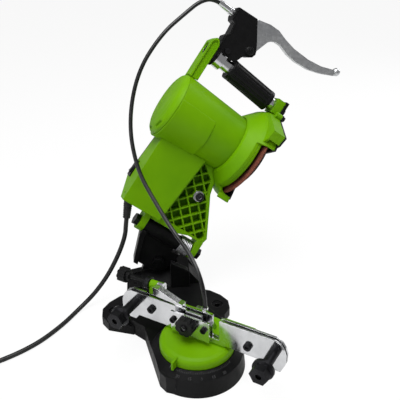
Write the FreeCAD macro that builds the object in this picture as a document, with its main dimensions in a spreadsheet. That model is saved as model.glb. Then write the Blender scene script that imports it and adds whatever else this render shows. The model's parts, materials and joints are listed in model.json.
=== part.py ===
"""Bench sharpener for saw chains: a tilting and swinging grinding head over a swivelling chain vise.

Frame: millimetres, +Z up, the operator stands at -Y.  The origin lies midway between the two bench bolt
holes, on the underside.  Four local frames carry the pieces:
  base   the row's own frame
  vise   turned about the turntable's axis; x along the chain rails, -y the face that the operator sees
  tilt   at the swing pin, leaned to the right by head_tilt; x along the pin, z up the leaned column
  head   the tilt frame raised backwards by head_raise; x along the motor shaft, z from the pin to the shaft
"""
import FreeCAD, Part
import math
import os
import re

import Sketcher
from FreeCAD import Placement, Rotation, Vector

X, Y, Z = Vector(1, 0, 0), Vector(0, 1, 0), Vector(0, 0, 1)

# sizes that follow from others
GUARD_DIA = "(wheel_dia + 2 * guard_room)"
GRIP_UP = f"(shaft_up + {GUARD_DIA} / 2 + grip_over)"
LEVER_UP = f"({GRIP_UP} + lever_over)"
STATOR_DIA = "(motor_dia - 4 * shell - 4)"

SIZES = [
    # --- where the frames stand
    ("vise_across", 38, "turntable axis, right of the bench holes' midpoint"),
    ("vise_front", 109, "turntable axis, in front of the bench holes' midpoint"),
    ("vise_turn", 35, "vise setting to the right, degrees"),
    ("pin_back", 66, "swing pin behind the bench holes"),
    ("bolt_along", 29.1, "tilt bolt along the pin from the pin's reference point"),
    ("bolt_down", 41.9, "tilt bolt under the swing pin"),
    ("head_tilt", 37, "lean of the head to the right, degrees"),
    ("head_raise", 17, "head leaned back past square, degrees"),
    ("gap", 0.3, "running gap between pieces that move past each other"),
    ("fit", 0.05, "radial running fit of a shaft in its bore"),
    # --- base
    ("base_high", 26, "height of the base's rim"),
    ("base_wall", 5, "wall of the hollow base"),
    ("base_deck", 21, "height of the hollow under the base"),
    ("bulge_dia", 134, "front round of the base"),
    ("bulge_draft", 3, "inward lean of the round's side wall"),
    ("dial_dia", 108, "inner edge of the sloping dial ring"),
    ("dial_high", 34, "height of the table under the turntable"),
    ("stud_dia", 12, "turntable's stud"),
    ("lock_dia", 44, "vise lock knob"),
    ("neck_half", 60, "half width of the base under the column"),
    ("neck_back", 84, "back edge of the base and column"),
    ("lug_high", 15, "height of the bench lugs"),
    ("lug_reach", 98, "end of a bench lug from the middle"),
    ("bench_hole_x", 80, "bench bolt hole from the middle"),
    ("bench_hole_dia", 9, "bench bolt hole"),
    ("bench_sink_dia", 18, "seat for the bench bolt's washer"),
    # --- column
    ("tilt_axis_x", -8, "tilt bolt, across"),
    ("tilt_axis_z", 62, "tilt bolt, height"),
    ("post_wide", 38, "width of the column's round top"),
    ("back_wall", 12, "thickness of the column's back wall"),
    ("cheek_front", 34, "front edge of the column's cheeks"),
    ("cheek_right_in", 19, "inner face of the right cheek"),
    ("cheek_right_out", 40, "outer face of the right cheek"),
    ("cheek_right_top", 56, "top of the right cheek"),
    ("cheek_horn", 72, "top of the column's front wall at its left end"),
    ("cheek_left_in", 36, "inner face of the left cheek"),
    ("cheek_left_top", 32, "top of the left cheek"),
    # --- tilt bracket and swing pin
    ("barrel_left", 26.4, "left end of the pin barrel from the reference point"),
    ("barrel_right", 59.4, "right end of the pin barrel"),
    ("barrel_dia", 24, "outside of the pin barrel"),
    ("pin_dia", 10, "swing pin"),
    ("ear_left", 37, "outer face of the left ear"),
    ("ear_right", 70, "outer face of the right ear"),
    ("ear_dia", 26, "round ends of the arm's ears"),
    ("bracket_thick", 12, "plate of the tilt bracket"),
    ("tilt_bolt_dia", 10, "tilt bolt"),
    ("tilt_knob_dia", 42, "tilt lock knob"),
    ("spring_wire", 2.6, "wire of the return spring"),
    # --- head
    ("shaft_up", 176, "motor shaft above the swing pin"),
    ("motor_dia", 104, "motor housing at its rim"),
    ("motor_neck_dia", 90, "motor housing at the guard"),
    ("motor_left", 92, "rim of the motor housing, left of the pin's middle"),
    ("cap_deep", 11, "end cap"),
    ("shell", 3, "wall of the plastic shells"),
    ("guard_at", 40, "left face of the wheel guard"),
    ("guard_deep", 20, "depth of the wheel guard's green shell"),
    ("guard_hub_dia", 132, "guard's walls inside its mouth"),
    ("guard_room", 5, "wheel's edge to the outside of the guard"),
    ("wheel_at", 50, "middle of the grinding wheel along the shaft"),
    ("wheel_dia", 145, "grinding wheel"),
    ("wheel_wide", 3.2, "grinding wheel's thickness"),
    ("wheel_bore", 22.2, "grinding wheel's bore"),
    ("flange_dia", 50, "wheel flanges"),
    ("flange_thick", 5, "wheel flanges' thickness"),
    ("shaft_dia", 12, "motor shaft"),
    ("cover_thick", 3, "guard's black cover"),
    ("core_dia", 51, "armature core"),
    ("bearing_dia", 24, "ball bearings"),
    ("bearing_wide", 8, "ball bearings' width"),
    ("commutator_dia", 24, "commutator"),
    ("fan_dia", 68, "cooling fan"),
    ("box_left", 81, "left face of the switch box"),
    ("box_right", 15, "lower right corner of the switch box, left of the pin's middle"),
    ("box_low", 18, "bottom of the switch box"),
    ("box_flare", 12, "the box's right face, further right at its top than at its bottom"),
    ("box_slope", 16.5, "slope of the box's back face, degrees"),
    ("box_front", 22, "front face of the switch box before the pin's plane"),
    ("box_back", 41, "back face of the switch box behind the pin's plane"),
    ("switch_up", 64, "rocker switch's height above the pin"),
    ("switch_back", 27, "rocker switch behind the pin"),
    ("switch_wide", 13, "rocker switch's width"),
    ("switch_high", 22, "rocker switch's height"),
    ("relief_lean", 26.5, "strain relief leans to the right, degrees"),
    ("cord_in", 69, "mains lead's entry, left of the pin's middle"),
    ("cord_front", 8, "mains lead's entry in front of the pin"),
    ("relief_dia", 13, "strain relief"),
    ("relief_long", 26, "strain relief's length"),
    ("arm_deep", 22, "depth of the ribbed arm"),
    ("arm_low", 19.4, "bottom edge of the arm over the pin"),
    ("rib", 2.2, "rib of the arm"),
    ("rib_pitch", 21, "spacing of the arm's diagonal ribs"),
    # --- handle and lever
    ("grip_over", 14.5, "middle of the grip above the guard"),
    ("grip_lean", 4, "slope of the grip towards the wheel, degrees"),
    ("grip_dia", 33, "grip"),
    ("grip_long", 82, "grip's length"),
    ("tube_dia", 20, "handle tube"),
    ("clamp_wide", 13, "lever clamp band"),
    ("lever_thick", 9, "lever blade"),
    ("lever_pivot_x", 36, "lever pivot along the shaft's direction"),
    ("lever_over", 40, "lever pivot above the grip's middle"),
    ("grip_shift", -3.9, "grip's middle along the tube"),
    ("post_at", 87, "left handle post from the pin's middle"),
    ("post_across", 14, "left handle post's width"),
    ("post_deep", 28, "handle posts' depth"),
    ("clamp_at", 66, "lever clamp from the pin's middle"),
    ("pivot_dia", 6, "lever pivot screw"),
    ("adjuster_long", 25, "cable adjuster's length"),
    ("adjuster_up", 33.5, "cable adjuster above the lever pivot"),
    # --- vise
    ("table_dia", 104, "turntable"),
    ("table_high", 48, "top of the turntable"),
    ("rail_left", 120, "left end of the rails from the turntable's axis"),
    ("rail_right", 130, "right end of the rails"),
    ("rail_low", 51, "bottom edge of the rails"),
    ("rail_top", 90, "top edge of the rails"),
    ("rail_thick", 3, "rail plate"),
    ("groove", 3, "groove for the chain's drive links"),
    ("window_left", 14, "left edge of the jaw window"),
    ("window_low", 58, "bottom of the jaw window"),
    ("window_right", 36, "right edge of the jaw window"),
    ("jaw_plate_left", 34, "left edge of the chrome jaw plate"),
    ("jaw_plate_right", 25, "right edge of the chrome jaw plate"),
    ("jaw_plate_low", 54, "bottom of the chrome jaw plate"),
    ("jaw_plate_top", 86, "top of the chrome jaw plate"),
    ("guide_left", 96, "left chain guide from the turntable's axis"),
    ("guide_right", 115, "right chain guide"),
    ("guide_high", 74, "height of the chain guides"),
    ("guide_long", 34, "length of a chain guide's shank"),
    ("guide_dia", 14, "chain guide's shank"),
    ("guide_nut", 22, "chain guide's hexagon across flats"),
    ("frame_thick", 8, "wall of the vise frame"),
    ("stop_high", 101.5, "height of the chain stop's screw"),
    ("stop_back", 10, "chain stop's screw behind the groove"),
    ("lock_low", 3, "bottom of the vise lock knob above the bench"),
    ("jaw_off", 4.5, "jaw plate's distance from the front rail"),
    ("jaw_up", 73, "height of the jaw's screws and rod"),
    ("jaw_rod", -8, "jaw's rod from the turntable's axis"),
    ("jaw_travel", 1.5, "jaw's stroke"),
    ("jaw_knob_dia", 27, "jaw's set knob"),
    ("stop_post", 79, "left face of the chain stop's post"),
    ("stop_dia", 6, "chain stop's screw"),
    ("ferrule_at", 8, "cable ferrule from the turntable's axis"),
    # --- cords
    ("mains_dia", 7, "mains lead"),
    ("cable_dia", 6, "Bowden cable's outer case"),
]

doc = FreeCAD.newDocument("ChainSharpener")
sheet = doc.addObject("Spreadsheet::Sheet", "Sizes")
value = {}
for row, (alias, number, meaning) in enumerate(SIZES, 1):
    sheet.set(f"A{row}", meaning)
    sheet.set(f"B{row}", str(number))
    sheet.setAlias(f"B{row}", alias)
    value[alias] = float(number)
doc.recompute()

WORD = re.compile(r"[a-z][a-z_]*")


def formula(text):
    """The expression text with every size's name pointing at its cell."""

    def cell(word):
        return f"Sizes.{word.group()}" if word.group() in value else word.group()

    return WORD.sub(cell, str(text))


def amount(text):
    """The number that an expression text stands for now."""

    def number(word):
        return f"({value[word.group()]})" if word.group() in value else word.group()

    total = FreeCAD.Units.Quantity(WORD.sub(number, str(text)))
    return float(total.Value)


def point(x, y, z):
    return Vector(amount(x), amount(y), amount(z))


def bind(thing, **sizes):
    for size, text in sizes.items():
        thing.setExpression(size, formula(text))
    return thing


def put(thing, x, y, z, turn=None):
    """Place a feature: its position follows the sheet, its turn is a fixed direction."""
    thing.Placement = Placement(point(x, y, z), turn or Rotation())
    thing.setExpression("Placement.Base.x", formula(x))
    thing.setExpression("Placement.Base.y", formula(y))
    thing.setExpression("Placement.Base.z", formula(z))
    return thing


ALONG = {
    "z": Rotation(),
    "-z": Rotation(X, 180),
    "x": Rotation(Y, 90),
    "-x": Rotation(Y, -90),
    "y": Rotation(X, -90),
    "-y": Rotation(X, 90),
}


def cylinder(dia, length, x=0, y=0, z=0, along="z"):
    rod = bind(doc.addObject("Part::Cylinder", "Rod"), Radius=f"({dia}) / 2", Height=length)
    return put(rod, x, y, z, ALONG[along])


def cone(dia_start, dia_end, length, x=0, y=0, z=0, along="z"):
    taper = doc.addObject("Part::Cone", "Taper")
    bind(taper, Radius1=f"({dia_start}) / 2", Radius2=f"({dia_end}) / 2", Height=length)
    return put(taper, x, y, z, ALONG[along])


def ball(dia, x=0, y=0, z=0):
    return put(bind(doc.addObject("Part::Sphere", "Ball"), Radius=f"({dia}) / 2"), x, y, z)


def ring(dia, wire, x=0, y=0, z=0, along="z"):
    hoop = bind(doc.addObject("Part::Torus", "Ring"), Radius1=f"({dia}) / 2", Radius2=f"({wire}) / 2")
    return put(hoop, x, y, z, ALONG[along])


def block(x_low, x_high, y_low, y_high, z_low, z_high):
    slab = doc.addObject("Part::Box", "Block")
    bind(slab, Length=f"({x_high}) - ({x_low})")
    bind(slab, Width=f"({y_high}) - ({y_low})")
    bind(slab, Height=f"({z_high}) - ({z_low})")
    return put(slab, x_low, y_low, z_low)


def hexagon(across, length, x=0, y=0, z=0, along="z"):
    prism = bind(doc.addObject("Part::Prism", "Hexagon"), Circumradius=f"({across}) / sqrt(3)", Height=length)
    prism.Polygon = 6
    return put(prism, x, y, z, ALONG[along])


def fuse(*things):
    joined = doc.addObject("Part::MultiFuse", "Joined")
    joined.Shapes = list(things)
    joined.Refine = True
    return joined


def cut(base, *tools):
    for tool in tools:
        trimmed = doc.addObject("Part::Cut", "Trimmed")
        trimmed.Base = base
        trimmed.Tool = tool
        base = trimmed
    return base


def common(one, other):
    shared = doc.addObject("Part::Common", "Shared")
    shared.Base = one
    shared.Tool = other
    return shared


def moved(thing, x=0, y=0, z=0, turn=None):
    """A copy of the feature's place: the feature held in a compound with a placement of its own."""
    holder = doc.addObject("Part::Compound", "Holder")
    holder.Links = [thing]
    return put(holder, x, y, z, turn)


def face_sketch(body, corners):
    """A closed outline on the body's own XY plane, each corner held by its two distances from the origin."""
    sketch = body.newObject("Sketcher::SketchObject", "Outline")
    plane = [part for part in body.Origin.OriginFeatures if part.Role == "XY_Plane"][0]
    sketch.AttachmentSupport = [(plane, "")]
    sketch.MapMode = "FlatFace"
    spots = [Vector(amount(x), amount(y), 0) for x, y in corners]
    count = len(corners)
    for i in range(count):
        sketch.addGeometry(Part.LineSegment(spots[i], spots[(i + 1) % count]), False)
    for i in range(count):
        sketch.addConstraint(Sketcher.Constraint("Coincident", i, 2, (i + 1) % count, 1))
    for i, (x, y) in enumerate(corners):
        across = sketch.addConstraint(Sketcher.Constraint("DistanceX", -1, 1, i, 1, spots[i].x))
        upwards = sketch.addConstraint(Sketcher.Constraint("DistanceY", -1, 1, i, 1, spots[i].y))
        sketch.setExpression(f"Constraints[{across}]", formula(x))
        sketch.setExpression(f"Constraints[{upwards}]", formula(y))
    return sketch


# turns that lay a body's XY outline into another plane, with its pad along the plane's normal
FRONT = Rotation(X, 90)     # outline (x, z) seen from the front, pad towards -y
SIDE = Rotation(Vector(1, 1, 1), 120)  # outline (y, z), pad towards +x


def plate(corners, thick, x=0, y=0, z=0, turn=None):
    """A padded outline."""
    body = doc.addObject("PartDesign::Body", "Plate")
    pad = body.newObject("PartDesign::Pad", "Pad")
    pad.Profile = face_sketch(body, corners)
    bind(pad, Length=thick)
    body.Tip = pad
    return put(body, x, y, z, turn)


def front_plate(corners, y_back, y_front):
    """An outline (x, z) between two distances in y."""
    return plate(corners, f"({y_back}) - ({y_front})", 0, y_back, 0, FRONT)


def side_plate(corners, x_low, x_high):
    """An outline (y, z) between two distances in x."""
    return plate(corners, f"({x_high}) - ({x_low})", x_low, 0, 0, SIDE)


def turned(corners, x=0, y=0, z=0, along="z"):
    """A revolved outline: corners are (radius, height along the axis)."""
    body = doc.addObject("PartDesign::Body", "Turned")
    spin = body.newObject("PartDesign::Revolution", "Revolution")
    sketch = face_sketch(body, corners)
    spin.Profile = sketch
    spin.ReferenceAxis = (sketch, ["V_Axis"])
    spin.Angle = 360
    body.Tip = spin
    upended = Rotation(X, 90)
    return put(body, x, y, z, ALONG[along].multiply(upended))


LEAN = Rotation(Y, value["head_tilt"])
BOLT = Vector(value["tilt_axis_x"], value["pin_back"], value["tilt_axis_z"])
PIN = BOLT.sub(LEAN.multVec(Vector(value["bolt_along"], 0, -value["bolt_down"])))
BASE = Placement()
TILT = Placement(PIN, LEAN)
HEAD = Placement(PIN, LEAN.multiply(Rotation(X, -value["head_raise"])))
VISE = Placement(Vector(value["vise_across"], -value["vise_front"], 0), Rotation(Z, -value["vise_turn"]))

nodes = {}


def node(name, frame, *things):
    """One named piece, or one group of identical pieces, stood in its frame."""
    piece = doc.addObject("Part::Compound", name)
    piece.Links = list(things)
    piece.Label = name
    piece.Placement = frame
    nodes[name] = piece
    return piece


# ------------------------------------------------------------------ base
AXIS_X = "vise_across"
AXIS_Y = "-vise_front"
SIDE_LINE = [("vise_across - 72", "52 - vise_front"), ("vise_across - 54", "-vise_front - 40")]


def base_plate():
    """Hollow casting: a front round with a sloping dial, a neck under the column and two bench lugs."""
    rim = "bulge_dia - 2 * bulge_draft"
    wall = cone("bulge_dia", rim, "base_high", AXIS_X, AXIS_Y)
    dial = cone(rim, "dial_dia", "dial_high - base_high", AXIS_X, AXIS_Y, "base_high")
    beside = SIDE_LINE + [("vise_across - 104", "-vise_front - 40"), ("vise_across - 104", "52 - vise_front")]
    round_part = cut(fuse(wall, dial), plate(beside, "dial_high + 1"))
    neck = plate([
        ("-neck_half", "neck_back"),
        ("-neck_half", -30),
        *SIDE_LINE,
        ("vise_across - 46", "-vise_front - 52"),
        ("vise_across - 34", "-vise_front - 57"),
        (AXIS_X, AXIS_Y),
        ("vise_across + 61", "26 - vise_front"),
        ("neck_half", -14),
        ("neck_half", "neck_back"),
    ], "base_high")
    lugs = []
    for side in ("", "-"):
        shape = [(50, 44), (72, 36), (88, 22), ("lug_reach", 6), ("lug_reach", -12), (88, -28), (50, -42)]
        shape = [(f"{side}({x})", y) for x, y in shape]
        lugs.append(plate(shape, "lug_high"))
    solid = fuse(round_part, neck, *lugs)
    under_round = cylinder("bulge_dia - 2 * bulge_draft - 4 * base_wall", "base_deck", AXIS_X, AXIS_Y)
    inside = "neck_half - base_wall"
    under_neck = block(f"-({inside})", inside, -24, "neck_back - base_wall", 0, "base_deck")
    between = block("vise_across - 54", "vise_across + 14", "30 - vise_front", -23, 0, "base_deck")
    hollow = fuse(under_round, under_neck, between)
    stud_hole = cylinder("stud_dia + 2 * fit", "dial_high", AXIS_X, AXIS_Y)
    bench = []
    for side in ("", "-"):
        bench.append(cylinder("bench_hole_dia", "lug_high", f"{side}bench_hole_x"))
        bench.append(cylinder("bench_sink_dia", 3, f"{side}bench_hole_x", 0, "lug_high - 3"))
    return cut(solid, hollow, stud_hole, *bench, *column_screw_holes("base_deck", "base_high"))


COLUMN_SCREWS = [
    ("-neck_half + 14", "cheek_front + 10"),
    ("-neck_half + 14", "neck_back - 10"),
    ("(cheek_right_in + cheek_right_out) / 2", "cheek_front + 10"),
    ("(cheek_right_in + cheek_right_out) / 2", "neck_back - 10"),
]


def column_screw_holes(z_low, z_high):
    deep = f"({z_high}) - ({z_low})"
    return [cylinder("6 + 2 * fit", deep, x, y, z_low) for x, y in COLUMN_SCREWS]


def column():
    """Black upright: a back wall with a round top at the tilt bolt, two cheeks and a sloping floor."""
    wall_front = "neck_back - back_wall"
    foot = "neck_half - 4"
    back = front_plate([
        (f"-({foot})", "base_high"),
        (f"-({foot})", "cheek_left_top"),
        ("-cheek_left_in", "cheek_left_top + 4"),
        ("tilt_axis_x - post_wide / 2", "tilt_axis_z"),
        ("tilt_axis_x + post_wide / 2", "tilt_axis_z"),
        ("cheek_right_in", "cheek_right_top"),
        ("cheek_right_out", "cheek_right_top"),
        (foot, "base_high"),
    ], "neck_back", wall_front)
    crown = cylinder("post_wide", "back_wall", "tilt_axis_x", wall_front, "tilt_axis_z", "y")
    right = front_plate([
        ("cheek_right_in", "base_high"),
        ("cheek_right_in", "cheek_right_top - 3"),
        ("cheek_right_in + 3", "cheek_right_top"),
        ("cheek_right_out", "cheek_right_top"),
        ("cheek_right_out", "base_high"),
    ], "neck_back", "cheek_front")
    flank = front_plate([
        ("cheek_right_out", "base_high"),
        ("cheek_right_out", "cheek_right_top - 6"),
        (foot, "base_high + 3"),
        (foot, "base_high"),
    ], "neck_back", "cheek_front + 8")
    left = block(f"-({foot})", "-cheek_left_in", "cheek_front", "neck_back", "base_high", "cheek_left_top")
    horn = front_plate([
        ("cheek_right_in - 9", "base_high"),
        ("cheek_right_in - 9", "cheek_horn - 4"),
        ("cheek_right_in - 7", "cheek_horn"),
        ("cheek_right_out - 4", "cheek_horn - 14"),
        ("cheek_right_out", "cheek_horn - 19"),
        ("cheek_right_out", "base_high"),
    ], "cheek_front + 10", "cheek_front")
    slope = side_plate([
        ("cheek_front + 4", "base_high"),
        (wall_front, "base_high"),
        (wall_front, "tilt_axis_z - post_wide / 2 - 4"),
    ], "-cheek_left_in", "cheek_right_in")
    solid = fuse(back, crown, right, flank, left, slope, horn)
    bolt_hole = cylinder("tilt_bolt_dia + 2 * fit", "back_wall + 2", "tilt_axis_x", f"{wall_front} - 1",
                         "tilt_axis_z", "y")
    return cut(solid, bolt_hole, *column_screw_holes("base_high", "base_high + 6"))


def column_screws():
    screws = []
    for x, y in COLUMN_SCREWS:
        head = hexagon(10, 4, x, y, "base_deck", "-z")
        shank = cylinder(6, "base_high - base_deck + 5", x, y, "base_deck")
        screws.append(fuse(head, shank))
    return screws


HUB_BACK = "neck_back - back_wall - gap"


def tilt_bolt():
    """Head in front of the bracket's hub, thread out behind the column."""
    front = f"({HUB_BACK}) - bracket_thick - gap"
    head = hexagon(17, 7, "tilt_axis_x", front, "tilt_axis_z", "-y")
    shank = cylinder("tilt_bolt_dia", f"neck_back + 20 - ({front})", "tilt_axis_x", front, "tilt_axis_z", "y")
    return fuse(head, shank)


def lobed_knob(dia, thick, lobes, bore, x, y, z, along):
    """A disc with finger hollows round its rim and a bore."""
    disc = cylinder(dia, thick)
    size = f"({dia}) * 0.22"
    hollows = []
    for i in range(lobes):
        turn = 2 * math.pi * i / lobes
        reach = f"({dia}) * 0.55"
        hollows.append(cylinder(size, f"({thick}) + 2", f"{reach} * {math.cos(turn):.6f}",
                                f"{reach} * {math.sin(turn):.6f}", -1))
    return moved(cut(disc, cylinder(bore, f"({thick}) + 2", 0, 0, -1), *hollows), x, y, z, ALONG[along])


node("base_plate", BASE, base_plate())
node("column", BASE, column())
node("column_screws", BASE, *column_screws())
node("tilt_bolt", BASE, tilt_bolt())
node("tilt_knob", BASE, lobed_knob("tilt_knob_dia", 16, 7, "tilt_bolt_dia + 2 * fit", "tilt_axis_x",
                                   "neck_back + gap", "tilt_axis_z", "y"))


# ------------------------------------------------------------------ tilt bracket and swing pin
def tilt_bracket():
    """Pin barrel on a plate that swings about the tilt bolt, with a stiffening flange on its left edge."""
    back = f"({HUB_BACK}) - pin_back"
    front = f"({back}) - bracket_thick"
    low = "-bolt_down - post_wide / 2"
    barrel = cylinder("barrel_dia", "barrel_left + barrel_right", "-barrel_left", 0, 0, "x")
    web = front_plate([
        ("-barrel_left", 6),
        ("-barrel_left", -13),
        (-6, low),
        ("bolt_along", low),
        ("bolt_along + post_wide / 2", "-bolt_down"),
        ("barrel_right - 8", -28),
        ("barrel_right - 8", "-barrel_dia / 2 - spring_wire - 1.4"),
        ("barrel_right - 23", "-barrel_dia / 2 - spring_wire - 1.4"),
        ("barrel_right - 23", 6),
    ], back, front)
    hub = cylinder("post_wide", "bracket_thick", "bolt_along", front, "-bolt_down", "y")
    flange = front_plate([
        ("-barrel_left", -5),
        ("-barrel_left", -13),
        (-6, low),
        (2, low),
        ("8 - barrel_left", -13),
        ("8 - barrel_left", -5),
    ], back, f"({back}) - 21")
    pin_bore = cylinder("pin_dia + 2 * fit", "barrel_left + barrel_right + 2", "-barrel_left - 1", 0, 0, "x")
    bolt_bore = cylinder("tilt_bolt_dia + 2 * fit", "bracket_thick + 2", "bolt_along", f"({front}) - 1",
                         "-bolt_down", "y")
    return cut(fuse(barrel, web, hub, flange), pin_bore, bolt_bore)


def swing_pin():
    head = hexagon(17, 7, "-ear_left - gap", 0, 0, "-x")
    shank = cylinder("pin_dia", "ear_left + ear_right + 2 * gap + 9", "-ear_left - gap", 0, 0, "x")
    return fuse(head, shank)


def pin_nut():
    nut = hexagon(17, 8, "ear_right + gap", 0, 0, "x")
    return cut(nut, cylinder("pin_dia + 2 * fit", 10, "ear_right + gap - 1", 0, 0, "x"))


def return_spring():
    """Close-wound coil round the barrel's right end."""
    pitch = "spring_wire + gap"
    over = "barrel_dia + 2 * gap + spring_wire"
    return [ring(over, "spring_wire", f"barrel_right - 3 - {i} * ({pitch})", 0, 0, "x") for i in range(7)]


node("tilt_bracket", TILT, tilt_bracket())
node("swing_pin", TILT, swing_pin(), pin_nut())
node("return_spring", TILT, *return_spring())


# ------------------------------------------------------------------ head: arm, box and motor
EAR_LEFT_IN = "-barrel_left - gap"
EAR_RIGHT_IN = "barrel_right + gap"


def motor_cone(clear):
    """The motor housing's outside with its end cap, grown by a clearance."""
    rim = f"motor_dia + 2 * ({clear})"
    neck = f"motor_neck_dia + 2 * ({clear})"
    taper = cone(rim, neck, "motor_left + guard_at", "-motor_left", 0, "shaft_up", "x")
    return fuse(taper, cylinder(rim, "cap_deep + 5", "-motor_left", 0, "shaft_up", "-x"))


# the bell's outside: distance inside the guard's rim, distance right of the guard's left wall
BELL = [(29.5, -22), (25.5, -20), (20.5, -15.3), (14, -9), (8.5, -3.7), (4.5, 2), (1.5, 8), (0, 14)]


def bell(clear):
    """The space of the guard's bell, grown by a clearance."""
    flank = [(f"{GUARD_DIA} / 2 - {inset} + {clear}", f"{along} - {clear}") for inset, along in BELL]
    return turned([
        (0, f"-22 - {clear}"),
        *flank,
        (f"{GUARD_DIA} / 2 + {clear}", "guard_deep"),
        (0, "guard_deep"),
    ], "guard_at", 0, "shaft_up", "x")


def arm():
    """Ribbed arm from the swing pin's ears up to the motor housing, open lattice to the front."""
    half = "arm_deep / 2"
    low = "box_low"
    left = "-box_right"
    web = front_plate([
        ("-ear_left", "arm_low - 6"),
        (24, "arm_low - 6"),
        (42, "arm_low"),
        ("ear_right", "arm_low"),
        ("ear_right + 2.5", "arm_low + 10"),
        (44, 80),
        (36.5, 93),
        (33, 106),
        (30, 122),
        (26, "shaft_up - 34"),
        (f"{left} + box_flare", "shaft_up - 34"),
        (left, low),
        ("-ear_left", low),
    ], half, f"-({half})")
    inside = front_plate([
        (f"{left} + 5", f"{low} + 5"),
        ("ear_right - 5", f"{low} + 5"),
        ("ear_right - 3.5", "arm_low + 13"),
        (39, 78),
        (31.5, 91),
        (24, 113),
        (f"{left} + 5 + box_flare * 0.9", "shaft_up - 47"),
    ], f"{half} - 6", f"-({half}) - 1")
    ribs = []
    for i in range(-4, 5):
        for way in (1, -1):
            middle = f"shaft_up * 0.4 + {i} * rib_pitch"
            up = [(x, f"{middle} + {way * (x - 28)} + {side} * rib * 0.707") for x, side in
                  ((-12, -1), (72, -1), (72, 1), (-12, 1))]
            ribs.append(front_plate(up, half, f"-({half})"))
    boss = cylinder(17, "arm_deep", 21, f"-({half})", 81, "y")
    screw_hole = cylinder("8 + 2 * fit", "arm_deep", 21, f"-({half})", 81, "y")
    lattice = cut(inside, fuse(boss, *ribs))
    ears = []
    for x_low, x_high, top in (("-ear_left", EAR_LEFT_IN, low), (EAR_RIGHT_IN, "ear_right", "arm_low + 1")):
        ears.append(cylinder("ear_dia", f"({x_high}) - ({x_low})", x_low, 0, 0, "x"))
        ears.append(block(x_low, x_high, "-ear_dia / 2", "ear_dia / 2", 0, top))
    ear_bore = cylinder("pin_dia + 2 * fit", "ear_left + ear_right + 2", "-ear_left - 1", 0, 0, "x")
    return cut(fuse(web, *ears), lattice, screw_hole, ear_bore, motor_cone("gap"), bell("gap"))


def arm_bolt():
    """Socket screw with a bright washer in the lattice's boss."""
    face = "-arm_deep / 2"
    washer = cut(cylinder(17, 1.5, 21, face, 81, "-y"), cylinder("8 + 2 * fit", 1.5, 21, face, 81, "-y"))
    head = cut(cylinder(13, 6, 21, f"{face} - 1.5", 81, "-y"), hexagon(6, 4, 21, f"{face} - 3.5", 81, "-y"))
    return [washer, fuse(head, cylinder(8, "arm_deep + 1.5", 21, f"{face} - 1.5", 81, "y"))]


BOX_TOP = "shaft_up - 34"
CHAMFER_UP = "box_low + 32"
BACK_RISE = f"{math.tan(math.radians(value['box_slope'])):.6f}"
COVER_TOP = "shaft_up - motor_dia / 2 - shell"
COVER_LONG = f"({COVER_TOP} - ({CHAMFER_UP})) / {math.cos(math.radians(value['box_slope'])):.6f}"
COVER_SCREWS = [
    ("-box_left + 6", 7),
    ("-box_left + 6", f"{COVER_LONG} - 7"),
    ("-box_right - 6", 7),
    ("-box_right - 6", f"{COVER_LONG} - 7"),
]


def on_back(thing):
    """A feature drawn on the box's sloping back face: z up the slope, y straight out of it."""
    return moved(thing, 0, "box_back", CHAMFER_UP, Rotation(X, value["box_slope"]))


def switch_box():
    """Box under the motor, left of the arm: open to the back, its lower back corner cut off."""
    ceiling = "shaft_up - motor_dia / 2 - 2 * shell"
    outer = side_plate([
        ("-box_front", "box_low"),
        ("-box_front", BOX_TOP),
        (f"box_back - {BACK_RISE} * ({BOX_TOP} - ({CHAMFER_UP}))", BOX_TOP),
        ("box_back", CHAMFER_UP),
        ("22 - box_front", "box_low"),
    ], "-box_left", "box_flare - box_right")
    beside = front_plate([
        ("-box_right", "box_low - 1"),
        ("-box_right", "box_low"),
        ("box_flare - box_right", BOX_TOP),
        ("box_flare - box_right + 1", BOX_TOP),
        ("box_flare - box_right + 1", "box_low - 1"),
    ], "box_back + 1", "-box_front - 1")
    inner = side_plate([
        ("shell - box_front", "box_low + shell"),
        ("shell - box_front", ceiling),
        (f"box_back + 1 - {BACK_RISE} * ({ceiling} - ({CHAMFER_UP}))", ceiling),
        ("box_back + 1", f"{CHAMFER_UP} + 1"),
        ("box_back - 3.6", f"{CHAMFER_UP} + 1"),
        ("21 - box_front", "box_low + shell"),
    ], "shell - box_left", "-box_right - shell")
    window = block("-box_left - 1", "shell - box_left + 1", "switch_back - switch_wide / 2 - fit",
                   "switch_back + switch_wide / 2 + fit", "switch_up - switch_high / 2 - fit",
                   "switch_up + switch_high / 2 + fit")
    gland = in_relief(cylinder("relief_dia + 2 * fit", 30, 0, 0, -15))
    return cut(outer, beside, inner, window, gland, motor_cone("gap"))


def box_cover():
    """Back plate of the switch box with its four screws' holes."""
    panel = block("-box_left", "-box_right", 0, "shell", 0, COVER_LONG)
    holes = [cylinder("4 + 2 * fit", "shell", x, 0, z, "y") for x, z in COVER_SCREWS]
    return on_back(cut(panel, *holes))


def cover_screws():
    screws = []
    for x, z in COVER_SCREWS:
        head = cylinder(7, 2, x, "shell", z, "y")
        screws.append(on_back(fuse(head, cylinder(4, "shell - fit", x, "fit", z, "y"))))
    return screws


def switch_bezel():
    wide = "switch_wide / 2"
    high = "switch_high / 2"
    rim = block("-box_left - 2", "-box_left", f"switch_back - {wide} - 3", f"switch_back + {wide} + 3",
                f"switch_up - {high} - 3", f"switch_up + {high} + 3")
    sleeve = block("-box_left - 2", "12 - box_left", f"switch_back - {wide}", f"switch_back + {wide}",
                   f"switch_up - {high}", f"switch_up + {high}")
    hole = block("-box_left - 3", "11 - box_left", f"switch_back - {wide} + 1.5",
                 f"switch_back + {wide} - 1.5", f"switch_up - {high} + 1.5", f"switch_up + {high} - 1.5")
    return cut(fuse(rim, sleeve), hole)


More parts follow.
